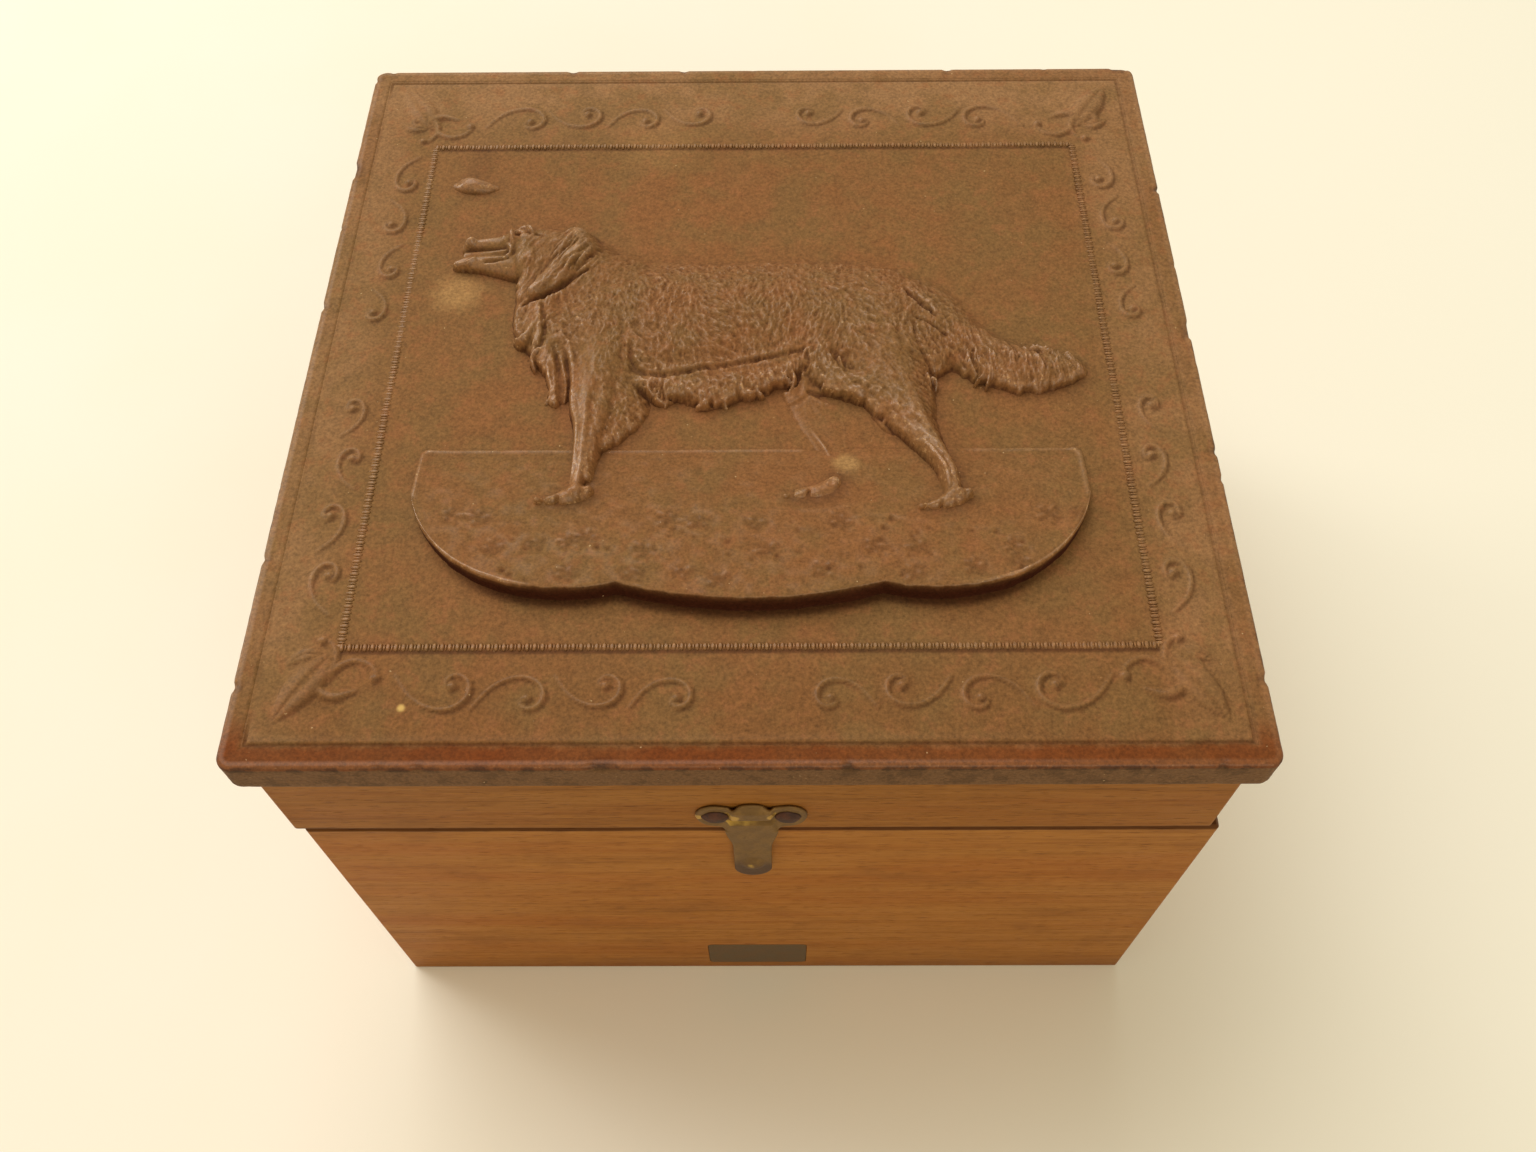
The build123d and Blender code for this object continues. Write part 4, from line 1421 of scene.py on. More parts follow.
        rims = [
            [(1 - end, line, 0.24), (-34, line, 0.2), (-32, line, 0.04)],
            [(-26, line, 0.04), (-24, line, 0.18), (9, line, 0.2)],
            [(38, line, 0.1), (40, line, 0.22), (end - 1, line, 0.24)],
            [(1 - end, line, 0.24), (-end, self.back - 1.6, 0.3), (-end, self.shoulder_y, 0.34)],
            [(end - 1, line, 0.24), (end, self.back - 1.6, 0.24), (end, self.shoulder_y, 0.2)],
        ]
        ground.add_strokes([[(x, y, self.rim_half, rise) for x, y, rise in rim] for rim in rims], 2)
        marks = ground.marks((4, 0.42))
        wobble = ground.waves(1.5, 0.9, 45)
        for x, y in self.blossoms:
            apart = np.hypot(ground.across - x, 1.4 * (ground.up - y - 0.1)) + wobble
            marks["hollow"] = np.maximum(marks["hollow"], 0.3 * unit(2.2 - apart))
        return ground, marks


# The dog


@dataclass(frozen=True)
class Coat:
    """How the hair of one mass lies."""

    angle: float
    length: float
    width: float
    lift: float
    spread: float = 18.0
    curl: float = 0.8
    ragged: float = 0.1
    fade: float = 1.1


BARE = Coat(-95, 1.2, 0.3, 0.05, ragged=0.0)


@dataclass(frozen=True)
class Crowd:
    """One layer of locks: how many to a square millimetre, and their size beside the coat's."""

    density: float
    length: float
    width: float
    lift: float


@dataclass(frozen=True)
class Fringe:
    """A row of ragged tufts that hang from one mass: curved locks that sink to their tips."""

    start: Pair
    end: Pair
    number: int
    hang: Pair
    width: float
    high: float
    low: float
    stray: float

    def tuft(self, draw: np.random.Generator) -> list[Row]:
        """Draw one tuft: it leaves its root at a chance place and bends to one side and back.

        Args:
            draw: Where the chances come from.

        Returns:
            Rows of x, y, half width and height.
        """
        start, run = np.array(self.start, float), np.subtract(self.end, self.start)
        root = start + run * draw.uniform(0, 1) + draw.normal(0, 0.4, 2)
        way = np.array(self.hang) * draw.uniform(0.6, 1.1) + draw.normal(0, self.stray, 2)
        side = np.array([-way[1], way[0]]) * draw.normal(0, 0.22)
        rise = draw.uniform(0.8, 1.15)
        wide = self.width * draw.uniform(0.7, 1.2)
        bends = [(0, 0, 1, 1), (0.35, 0.6, 1, 0.72), (0.7, 0.4, 0.75, 0.34), (1, -0.6, 0.25, 0)]
        drop = self.high - self.low
        return [(*(root + way * share + side * bend), wide * thick, rise * (self.low + drop * tall))
                for share, bend, thick, tall in bends]


@dataclass
class Dog:
    """The standing dog in relief: rounded masses, locks of hair over them and cut details."""

    top: float
    pitch: float = 0.225
    sunk: float = 0.35
    blend: float = 6.0
    ceiling: float = 6.5
    fall: float = 3.0
    hair_seed: int = 11
    tuft_seed: int = 23
    crowds: tuple[Crowd, ...] = (
        Crowd(0.3, 1.3, 2.3, 0.7), Crowd(1.9, 0.9, 0.95, 0.8), Crowd(4.2, 0.55, 0.55, 0.7),
    )
    fringes: tuple[Fringe, ...] = (
        Fringe((-19.5, -8.4), (-15, -9), 8, (1.2, -2.2), 0.8, 1.8, 0.4, 0.7),
        Fringe((-14, -8.8), (-9.5, -8.8), 9, (0.9, -2), 0.75, 1.9, 0.4, 0.8),
        Fringe((-8.5, -8.2), (-4.5, -8.4), 10, (1.4, -3), 0.85, 2.1, 0.5, 0.8),
        Fringe((-4, -7.8), (-0.5, -7.4), 8, (1, -2.2), 0.7, 2.1, 0.5, 0.7),
        Fringe((-0.5, -6), (3, -6.2), 8, (1.2, -2.4), 0.8, 2.2, 0.6, 0.6),
        Fringe((3, -4.4), (8, -4.2), 10, (0.6, -2.8), 0.9, 2.5, 0.9, 0.6),
        Fringe((-19, -8.4), (8, -4.6), 30, (0.6, -1.8), 0.55, 2.2, 1.5, 0.8),
        Fringe((10, -1), (20, -6), 14, (1.2, -3.6), 0.8, 3.5, 1.8, 0.9),
        Fringe((-21.5, -8), (-26, -18), 14, (1.2, -2.2), 0.7, 2.2, 0.8, 0.6),
        Fringe((-39.5, 12), (-37.5, -1), 10, (-1.6, -3.4), 0.8, 2.9, 1.5, 0.5),
        Fringe((39.5, -1.5), (55, -2.6), 36, (0.8, -5.2), 0.5, 2.8, 1.5, 0.5),
        Fringe((50, 0), (58.5, -1.5), 16, (2.6, -3.6), 0.5, 2.6, 1.3, 0.5),
        Fringe((31, 13), (37, 5), 10, (2, -3.4), 0.6, 3, 2.3, 0.6),
        Fringe((31, -3), (32.6, -10), 6, (0.7, -2.2), 0.5, 2.3, 0.9, 0.3),
    )
    masses: dict[str, tuple[Rows, Coat]] = field(default_factory=lambda: {
        "trunk": ([(-38, 11, 7, 2.4), (-29, 9, 14.5, 4), (-15, 9.4, 15.6, 4.6), (0, 10.5, 14, 4.4),
            (13, 10.8, 14.2, 4.7), (24, 8.2, 15.2, 5), (33, 6, 10, 3.4), (37, 5, 5, 1.8)],
            Coat(-68, 3, 0.42, 0.58, 32, ragged=0.03)),
        "neck": ([(-25, 14.5, 12.5, 3.6), (-31, 19.5, 9.6, 4.2), (-36, 24.5, 8.2, 4.3), (-40.5, 26.6, 7, 4.2),
            (-45, 28.2, 4, 3.6)], Coat(-100, 3.2, 0.42, 0.4, 16, ragged=0.04)),
        "throat": ([(-40, 22, 5.5, 3.7), (-41, 17, 4.2, 3), (-40.2, 12, 3.4, 2.9)],
            Coat(-104, 3, 0.4, 0.5, 16)),
        "muzzle": ([(-43.5, 27, 4.6, 3.8), (-47.5, 27.6, 2.9, 3.5), (-51.5, 27.4, 2.1, 3.3),
            (-54.3, 27, 1.7, 3.2), (-55.7, 26.8, 1, 2.6)], BARE),
        "mouth": ([(-44, 25, 2.6, 3), (-50, 25.1, 2, 2.5), (-55.2, 25, 1.4, 2)], BARE),
        "jaw": ([(-43, 22.4, 4, 3.5), (-47.4, 22.8, 2.9, 3.1), (-51.2, 23.3, 2.2, 2.7),
            (-54.8, 23.4, 1.7, 2.4), (-57.2, 23, 0.9, 1.9)], BARE),
        "ear": ([(-33.6, 28.5, 3.8, 4.3), (-32.8, 24.2, 5.2, 4.8), (-35, 20, 4.3, 4.9),
            (-38.4, 16.4, 2.8, 4.7), (-41.4, 13.2, 1.3, 4.3)], Coat(-116, 5.6, 0.5, 0.62, 12, 1.2, 0.06)),
        "breast": ([(-37, 15, 4.2, 3.2), (-39.4, 9, 3.8, 3.1), (-38.6, 3, 3.2, 2.7), (-36.6, -3, 2, 2.2)],
            Coat(-100, 4.6, 0.5, 0.6, 14, 1)),
        "low_breast": ([(-35.6, 3, 3.2, 2.6), (-35, -3, 2.6, 2.2), (-34.8, -8, 2.2, 1.8),
            (-35.4, -10.6, 1.4, 1.3)], Coat(-98, 3.4, 0.45, 0.5, 14, 1, 0.1)),
        "fore_leg": ([(-28, 4, 7.4, 4.2), (-28.6, -4, 5, 4.1), (-29.6, -11, 3.2, 3.9),
            (-29.4, -17.5, 2.1, 3.7), (-29.5, -26, 1.7, 3.6), (-29.8, -32.6, 1.7, 3.6)],
            Coat(-86, 3, 0.36, 0.24, 10, ragged=0.04)),
        "web": ([(-27, -3, 5, 3.9), (-27, -10, 4.2, 3.6), (-27.4, -16, 3.2, 3.3), (-28.4, -22, 2.4, 3.1),
            (-28.7, -28, 1.9, 3.1)], Coat(-80, 3, 0.4, 0.4, 16, ragged=0.04)),
        "feather": ([(-26, 0, 5.6, 3.4), (-24.6, -7, 5.5, 2.8), (-23.8, -12, 5.1, 2.2),
            (-25, -16.6, 3.7, 1.8), (-27, -20.5, 2, 1.8)], Coat(-72, 3.6, 0.44, 0.5, 20, 1, 0.12)),
        "thigh": ([(24, 3, 12, 4.6), (25.5, -5.5, 8.4, 4.5), (28.2, -13.5, 4.9, 4), (31.2, -20.5, 2.9, 3.6),
            (34, -26.5, 2.3, 3.5), (35, -32.5, 2.2, 3.5)], Coat(-68, 3.4, 0.46, 0.5, 26, ragged=0.06)),
        "flank": ([(12, 3, 5, 3.8), (13.6, -3, 4.6, 3.2), (16, -6.2, 3.8, 3), (20, -8.2, 3.8, 3.2)],
            Coat(-64, 3.6, 0.5, 0.7, 36, 1.2, 0.12)),
        "far_leg": ([(10, -5, 5.5, 1.2), (11.8, -12, 4.6, 0.45), (13.4, -18, 3.4, 0.26),
            (14.8, -24, 2.4, 0.36), (14.6, -29, 1.9, 1.2)], Coat(-82, 2.4, 0.36, 0.2, 12, ragged=0.05)),
        "tail": ([(30.5, 15, 4, 2.3), (36, 7.5, 6.4, 2.3), (42.4, 1, 7.2, 2.5), (49, -2.4, 6.6, 2.5),
            (55, -2.6, 5.2, 2.2), (58.6, -2.6, 3.4, 1.6)], Coat(-72, 4.4, 0.4, 0.7, 14, 1, 0.06, 2.6)),
        "belly": ([(-20.5, -6.2, 2.8, 2.3), (-12, -7.4, 3.8, 2.5), (-6, -7.4, 4.4, 2.6), (0, -5.6, 3.8, 2.5),
            (5, -4.2, 3.6, 2.6), (9, -2.4, 2.8, 2.6)], Coat(-70, 3, 0.55, 0.8, 40, 1.4, 0.2)),
        "under": ([(-22, -2, 3, 2.6), (-20, -4.6, 3.2, 2.5), (-12, -4.8, 3.4, 2.6), (-4, -3.6, 3.4, 2.6),
            (3, -1.6, 3.4, 2.8), (10, 1, 3.4, 3)], Coat(-74, 2.4, 0.4, 0.4, 30, ragged=0.05)),
        "fore_paw": ([(-27.6, -31.6, 1.4, 3.1), (-30, -32.4, 2.4, 3.6), (-33.2, -33.5, 1.7, 3.3),
            (-36.4, -34, 1, 2.8)], BARE),
        "hind_paw": ([(37.4, -32.6, 1.4, 3.2), (34.8, -33.6, 2.2, 3.7), (31.8, -34.9, 1.6, 3.4),
            (28.9, -35.5, 1, 3)], BARE),
        "far_paw": ([(14.8, -29.4, 1.7, 2.2), (12.8, -31.2, 2.5, 2.5), (9.2, -32, 2.1, 2.4),
            (6, -32.8, 1.1, 2.1)], BARE),
        "bump": ([(-60, 46, 1, 0.6), (-57.5, 46, 2.2, 1.9), (-54.4, 45.6, 1.8, 1.3), (-52, 45.4, 0.6, 0.4)],
            BARE),
    })

    def modelled(self) -> Relief:
        """The dog's heights over the panel: masses, creases, tufts, hair and cut details.

        Where masses meet, the height is the root of the sum of their powers.

        Returns:
            The relief.
        """
        relief = Relief(np.arange(-63, 63, self.pitch), np.arange(-40, 48, self.pitch))
        fields = np.stack([relief.swell(stations, self.fall, coat.ragged, coat.fade)
                           for stations, coat in self.masses.values()])
        above = np.clip(fields, 0, None)
        merged = (above**self.blend).sum(0) ** (1 / self.blend)
        relief.height = np.where(fields.max(0) > 0, merged, fields.max(0))
        self.creases(relief)
        self.tufts(relief)
        relief.height = relief.height + self.hair(relief, fields) * unit((relief.height + 0.1) / 1.2)
        self.head(relief)
        self.feet(relief)
        relief.height = np.clip(relief.height, -self.sunk, self.ceiling)
        return relief

    def surface(self, shape: Relief) -> Surface:
        """The dog as one piece, sunk a little into the plate all round.

        Args:
            shape: The dog's relief.

        Returns:
            The surface, open below.
        """
        h = shape.height
        cells = np.maximum.reduce([h[:-1, :-1], h[1:, :-1], h[:-1, 1:], h[1:, 1:]])
        # painted shade: darker in the hollows between locks and beside steep edges, lighter where the hair
        # stands up
        marks = shape.marks((3, 0.5), (13, 5.6))
        marks["raised"] *= 1 - 0.45 * unit((-29.5 - shape.up) / 1.5)
        return shape.carved(cells > 0.07 - self.sunk, marks, self.top, self.top - self.sunk - 0.25)

    def hair(self, relief: Relief, fields: Array) -> Array:
        """Lay locks of hair over the masses, in layers that are added.

        Args:
            relief: The heights so far.
            fields: Each mass's own heights.

        Returns:
            The height that the hair adds.
        """
        draw = np.random.default_rng(self.hair_seed)
        owner = np.where(relief.height > 0.4, fields.argmax(0), -1)
        total = np.zeros_like(relief.height)
        for crowd in self.crowds:
            layer = np.zeros_like(relief.height)
            for mass, (_, coat) in enumerate(self.masses.values()):
                roots = np.argwhere(owner == mass)
                number = int(len(roots) * self.pitch**2 * crowd.density)
                row, column = roots[draw.integers(0, len(roots), number)].T
                self.locks(relief, layer, (relief.x[column], relief.y[row]), coat, crowd, draw)
            total += layer
        return total

    def locks(self, relief: Relief, layer: Array, roots: tuple[Array, Array], coat: Coat,
              crowd: Crowd, draw: np.random.Generator) -> None:
        """Lay the locks of one mass: each rises from its root and drops at its tip.

        A lock's height is its lift, times the way along it to a power, times one less the
        square of the way across its waving middle line. Where locks overlap, the highest shows.

        Args:
            relief: The dog's relief.
            layer: The layer's heights, which grow.
            roots: Each root's x and y.
            coat: How the hair of the mass lies.
            crowd: How the layer's locks differ.
            draw: Where the chances come from.
        """
        x, y = roots
        number = len(x)
        sway = 1.4 * value_noise(x, y, 7, 50) + draw.normal(0, 0.4, number)
        angle = np.radians(coat.angle + coat.spread * sway)
        length = coat.length * crowd.length * draw.uniform(0.7, 1.25, number)
        width = coat.width * crowd.width * draw.uniform(0.75, 1.2, number)
        lift = coat.lift * crowd.lift * draw.uniform(0.5, 1.1, number)
        curl = coat.curl * draw.uniform(-1, 1, number)
        way_x, way_y = np.cos(angle), np.sin(angle)
        reach = math.ceil(coat.length * crowd.length * 0.66 / self.pitch) + 2
        near = np.arange(-reach, reach + 1)
        column = ((x + way_x * length / 2 - relief.x[0]) / self.pitch).astype(int)[:, None, None]
        row = ((y + way_y * length / 2 - relief.y[0]) / self.pitch).astype(int)[:, None, None]
        columns = np.clip(column + near[None, None, :], 0, len(relief.x) - 1)
        rows = np.clip(row + near[None, :, None], 0, len(relief.y) - 1)
        x, y, way_x, way_y, length, width, lift, curl = (
            value[:, None, None] for value in (x, y, way_x, way_y, length, width, lift, curl))
        apart_x, apart_y = relief.x[columns] - x, relief.y[rows] - y
        along = unit((apart_x * way_x + apart_y * way_y) / length)
        across = (apart_y * way_x - apart_x * way_y) / (width * (1.15 - 0.7 * along**2))
        across = across - curl * np.sin(3.6 * along)
        shape = lift * along**0.7 * (1 - along**6) * unit(1 - across**2)
        rows, columns = np.broadcast_arrays(rows, columns)
        np.maximum.at(layer, (rows.ravel(), columns.ravel()), shape.ravel())

    def creases(self, relief: Relief) -> None:
        """Sink the deep lines between the masses.

        Args:
            relief: The dog's relief.
        """
        relief.add_strokes([
            # below the ribs
            [(-22.2, 0.6, 0.5, -0.3), (-21.8, -3.2, 0.9, -0.7), (-20.5, -5.4, 1, -0.8),
             (-18, -6.4, 0.9, -0.7), (-14, -6.2, 0.8, -0.55), (-9, -4.8, 0.8, -0.65), (-5, -4.3, 0.7, -0.45),
             (0, -3.2, 0.7, -0.6), (5, -2, 0.6, -0.45), (9.6, -1, 0.4, -0.2)],
            # below the ear
            [(-43, 11.2, 0.5, -0.7), (-40.2, 11.9, 0.8, -1.2), (-37.2, 13.7, 0.8, -1.1),
             (-33.8, 16.4, 0.6, -0.8), (-30.6, 18.4, 0.5, -0.4)],
            # the throat and the breast
            [(-39.2, 10.2, 0.5, -0.5), (-38.6, 6, 0.6, -0.7), (-38.4, 2.6, 0.6, -0.7),
             (-39.6, -0.6, 0.6, -0.6)],
            [(-36.4, 0.8, 0.4, -0.4), (-35.4, -3, 0.7, -0.8), (-34.6, -8, 1, -1), (-34.6, -11.4, 0.8, -0.6)],
            # the rump, where the tail starts
            [(28.4, 14.4, 0.5, -0.3), (29.8, 12, 0.7, -0.9), (31, 10.4, 0.5, -0.3)],
            [(30.4, 12.6, 0.5, -0.4), (31.6, 10.2, 0.8, -1.2), (32.6, 8.4, 0.6, -0.5)],
            [(32.4, 10.6, 0.4, -0.3), (33.2, 8.6, 0.6, -0.9), (34, 7, 0.4, -0.4)],
            [(29.8, 4.6, 0.4, -0.4), (30, 1.4, 0.4, -0.5), (31.2, -1.8, 0.4, -0.5), (33, -5.2, 0.4, -0.5),
             (35.2, -7.2, 0.4, -0.3)],
            [(30.2, 6, 0.4, -0.3), (33, 4.8, 0.4, -0.45), (36.2, 2.6, 0.4, -0.3)],
            # the groin
            [(10.5, -9, 0.6, -0.4), (14, -10.2, 1, -0.9), (17, -11.2, 1.2, -1.2), (20.4, -13.2, 1, -0.8)],
            [(2.6, -6.8, 0.4, -0.3), (4.4, -7.7, 0.6, -0.6), (6.4, -8, 0.7, -0.8), (8, -7.2, 0.7, -0.7),
             (8.8, -5.2, 0.5, -0.4), (9.1, -3.6, 0.4, -0.2)],
            [(10.4, -9.6, 0.3, -0.1), (8.6, -11, 0.5, -0.2), (6.8, -11.6, 0.3, -0.1)],
        ])

    def tufts(self, relief: Relief) -> None:
        """Hang tufts from the belly, legs, breast, rump and tail, and lay strands over the ear.

        Args:
            relief: The dog's relief.
        """
        draw = np.random.default_rng(self.tuft_seed)
        for fringe in self.fringes:
            for _ in range(fringe.number):
                relief.stroke(fringe.tuft(draw), steps=4)
        breast = [
            [(-40.2, 6.5, 1.8, 3.1), (-41.4, 3.6, 1.6, 3), (-42.8, 2.6, 1, 2.7), (-44, 3.2, 0.4, 1.9)],
            [(-37.4, -1.5, 0.8, 2), (-36.8, -5.6, 0.8, 1.9), (-36, -8.6, 0.7, 1.6), (-36.2, -10.2, 0.5, 1.2),
             (-37.2, -11, 0.3, 0.6)],
        ]
        for line in breast:
            relief.stroke(line)
        for _ in range(30):
            share = draw.uniform(0, 1)
            x, y = -36.0 + 7.0 * share + draw.normal(0, 0.4), 28.0 - 5.5 * share + draw.normal(0, 1.2)
            sway, lift = draw.uniform(-1, 1), draw.choice([-0.22, 0.26, 0.34])
            reach = draw.uniform(0.6, 1)
            relief.stroke([
                (x, y, 0.25, lift * 0.3),
                (x - 1.7 * reach + sway * 0.6, y - 3.4 * reach, 0.4, lift),
                (x - 3.6 * reach - sway * 0.5, y - 6.6 * reach, 0.36, lift),
                (x - 5.6 * reach, y - 9.0 * reach, 0.2, lift * 0.3),
            ], True, 4)

    def head(self, relief: Relief) -> None:
        """Shape the brow, eye, nose, mouth and cheek.

        Args:
            relief: The dog's relief.
        """
        relief.add_strokes([
            # the brow, the corner of the eye and the inner brow
            [(-46.4, 30.6, 0.4, 0.4), (-45.4, 31.5, 0.65, 1.3), (-44, 31, 0.65, 1.5), (-42.9, 29.2, 0.6, 1.4),
             (-42.4, 27.9, 0.4, 0.6)],
            [(-43.4, 28.2, 0.4, -0.5), (-42, 27.9, 0.45, -0.6), (-40.2, 27.4, 0.35, -0.3)],
            [(-46.6, 29.6, 0.4, 0.5), (-46.5, 27.8, 0.6, 1.1), (-46.2, 26, 0.4, 0.5)],
            # the cheek
            [(-44.4, 25.4, 1.4, 0.3), (-43.4, 22.4, 1.9, 0.6), (-43.6, 19.6, 1.4, 0.3)],
            # the line of the mouth, the tongue and the chin
            [(-55.4, 25.9, 0.3, -0.2), (-54.2, 25.8, 0.35, -0.4), (-51, 25.6, 0.35, -0.4),
             (-47.8, 25.6, 0.3, -0.3)],
            [(-52.4, 24.7, 0.3, 0.2), (-50, 24.6, 0.45, 0.45), (-47.6, 24.8, 0.4, 0.4)],
            [(-57.4, 21.5, 0.5, -0.5), (-55.4, 21.2, 0.8, -1.1), (-52.6, 21, 0.6, -0.5)],
            # the corner of the mouth and the lips
            [(-47.4, 26.2, 0.35, 0.4), (-46.6, 25.2, 0.45, 0.8), (-46.7, 23.8, 0.4, 0.7),
             (-47.6, 22.8, 0.3, 0.3)],
            [(-51.4, 22.5, 0.4, -0.5), (-49, 22.5, 0.45, -0.7), (-47, 22.7, 0.35, -0.4)],
            [(-58, 22.6, 0.3, 0.3), (-57, 22.3, 0.45, 0.6), (-55.2, 22.4, 0.45, 0.6),
             (-53.6, 23.1, 0.4, 0.4)],
        ])
        # the eyeball and its pupil, the nose and its nostril
        relief.add_domes([(-44.6, 29.6, 1.4, 0.45), (-45.3, 28.1, 0.65, -0.9), (-54.7, 27.3, 1.3, 1.1),
                          (-56, 26.4, 0.35, -0.5)])

    def feet(self, relief: Relief) -> None:
        """Round and part the toes, and sharpen the front edges of the legs.

        Args:
            relief: The dog's relief.
        """
        relief.add_domes([
            (-36.4, -34.2, 0.7, 0.7), (-34, -34.3, 1, 0.2), (-31.6, -34.2, 1.1, 0.2), (-27.6, -32, 0.7, 0.5),
            (28.9, -36, 0.7, 0.7), (31.2, -35.9, 1, 0.2), (33.6, -35.5, 1.1, 0.2), (37.4, -33, 0.7, 0.5),
            (6, -33.2, 0.7, 0.7), (8.4, -33.2, 1, 0.2), (11.6, -32.9, 1.1, 0.2), (14.8, -30.6, 0.7, 0.4),
        ])
        gaps = [(-35.2, -34), (-32.8, -34), (30, -35.7), (32.4, -35.5), (7.2, -32.5), (10, -32.4)]
        relief.add_strokes([
            [(x + 0.2, y + 0.9, 0.3, -0.2), (x, y, 0.4, -0.8), (x - 0.2, y - 1, 0.35, -0.7)] for x, y in gaps
        ])
        relief.add_strokes([
            # the near fore leg
            [(-33.9, 1.2, 0.5, 0.4), (-33, -1.9, 0.7, 0.7), (-32.6, -5.6, 0.6, 0.5), (-32.4, -9.2, 0.5, 0.4),
             (-32.2, -13.7, 0.6, 0.7), (-31, -18, 0.7, 1), (-30.8, -22, 0.7, 1), (-30.9, -27, 0.6, 0.8),
             (-31.2, -31, 0.4, 0.3)],
            # the near hind leg
            [(22, -14.4, 0.5, 0.5), (23.6, -16.6, 0.7, 0.8), (25.2, -18.6, 0.5, 0.3)],
            [(30, -22, 0.5, 0.4), (31.9, -25.4, 0.75, 1.1), (33.3, -28.6, 0.75, 1.2), (33.8, -32, 0.5, 0.4)],
            # the far hind leg
            [(10.8, -17.4, 0.4, 0.05), (11.8, -19.2, 0.5, 0.3), (13, -21.4, 0.5, 0.4), (14, -23.6, 0.4, 0.1)],
        ])


# The hasp


@dataclass
class Hasp:
    """The brass hasp: two ears, a raised middle and a springy tongue, pressed from one sheet."""

    face: float
    seam: float
    sheet: float = 0.6
    rise: float = 0.7
    ear_x: float = 6.1
    ear_radius: float = 3.8
    reach: float = 9.5
    level: float = 7.2
    crest: float = 4.4
    dip: float = 3.1
    root: float = 2.2
    rib_half: float = 3.7
    root_half: float = 4.6
    waist_drop: float = 8.0
    tongue_half: float = 3.4
    tongue_length: float = 21.8
    bend_above: float = 1.2
    bend_below: float = 2.4
    dome_radius: float = 2.2
    dome_rise: float = 0.95
    dome_from_end: float = 6.6
    dark_length: float = 8.5
    tack_radius: float = 2.15
    tack_rise: float = 0.85
    rubbed: tuple[Row, ...] = ((-3.4, 0.9, 1.4), (3.4, 1.2, 0.9), (-9, -0.2, 1), (-3.6, -1.4, 1))

    def __post_init__(self) -> None:
        """Turn the levels above the seam into heights in the box's frame."""
        self.ear_z = self.seam + self.level
        self.root_z = self.seam + self.root
        self.end_z = self.root_z - self.tongue_length
        self.dome_z = self.end_z + self.dome_from_end

    def half_outline(self) -> tuple[Array, Array]:
        """The right half of the outline from the crest to the tip, and the spine beside it.

        The upper edge is a spline over the crest, the dip and the ear, the ear is a circle,
        and the tongue's side eases in to its waist and ends in a half circle.

        Returns:
            The edge's x and z, and the points of the spine that it faces.
        """
        ear, half, z = self.ear_x, self.reach - self.ear_x, self.ear_z
        upper = [(0, z + self.crest), (1.4, z + 4.1), (3, z + self.dip), (4.4, z + 3.4)]
        top = smooth_stations([*upper, (ear, z + self.ear_radius)])[:-1]
        turn = np.linspace(math.pi / 2, -math.pi / 2, 26)
        round_ear = np.stack([ear + half * np.cos(turn), z + self.ear_radius * np.sin(turn)], 1)
        lower = [(ear, z - self.ear_radius), (5.3, z - 4), (4.8, z - 4.6)]
        neck = smooth_stations([*lower, (self.root_half, self.root_z)], 4)[1:]
        share = np.linspace(0, 1, len(neck) + 1)[1:, None]
        down = np.linspace(0, 1, 12)[1:, None]
        waist_z, straight_end = self.root_z - self.waist_drop, self.end_z + self.tongue_half
        taper = self.root_half + (self.tongue_half - self.root_half) * eased(down)
        run = np.linspace(waist_z, straight_end, 14)[1:, None]
        side = np.concatenate([np.hstack([taper, self.root_z + (waist_z - self.root_z) * down]),
                               np.hstack([np.full_like(run, self.tongue_half), run])])
        turn = np.linspace(0, -math.pi / 2, 14)[1:]
        tip = np.stack([self.tongue_half * np.cos(turn), straight_end + self.tongue_half * np.sin(turn)], 1)
        spine = [
            np.stack([top[:, 0], np.full(len(top), z)], 1), np.repeat([[ear, z]], len(round_ear), 0),
            np.array([ear, z]) * (1 - share) + np.array([0, self.root_z]) * share,
            side * (0, 1), np.repeat([[0, straight_end]], len(tip), 0),
        ]
        return np.concatenate([top, round_ear, neck, side, tip]), np.concatenate(spine)

    def lift(self, x: Array, z: Array) -> Array:
        """How far the sheet's face stands off the wood: level ears, a raised rib and a dome.

        The rib eases up from its two sides and its top. The dome is one less the distance
        squared, to a power below one, which makes its side steep.

        Args:
            x, z: The places.

        Returns:
            The distance of the face from the wood.
        """
        below = unit((self.root_z + 4 - z) / 6)
        widening = (self.root_half - self.rib_half) * unit((self.ear_z - z) / 5)
        half = np.where(z > self.root_z, self.rib_half + widening, 20)
        rib = eased(unit((half + 0.35 - abs(x)) / 0.9)) * eased(unit(self.ear_z + self.crest - 0.7 - z))
        rib = np.maximum(rib, below)
        apart = np.hypot(x, z - self.dome_z) / self.dome_radius
        dome = self.dome_rise * unit(1 - apart**2) ** 0.75
        belly = 0.12 * unit(1 - (x / 5) ** 2)
        return self.sheet + self.rise * rib + dome + belly * rib

    def marks(self, x: Array, z: Array) -> Marks:
        """Where the sheet is rubbed bright, beside its rib and on its ears, where a highlight is painted on
        its dome, and where it is darker, at its ends.

        Args:
            x, z: The places.

        Returns:
            The two values for each place.
        """
        spots = [unit(1.4 - np.hypot(x - spot_x, z - self.ear_z - spot_z) / radius)
                 for spot_x, spot_z, radius in self.rubbed]
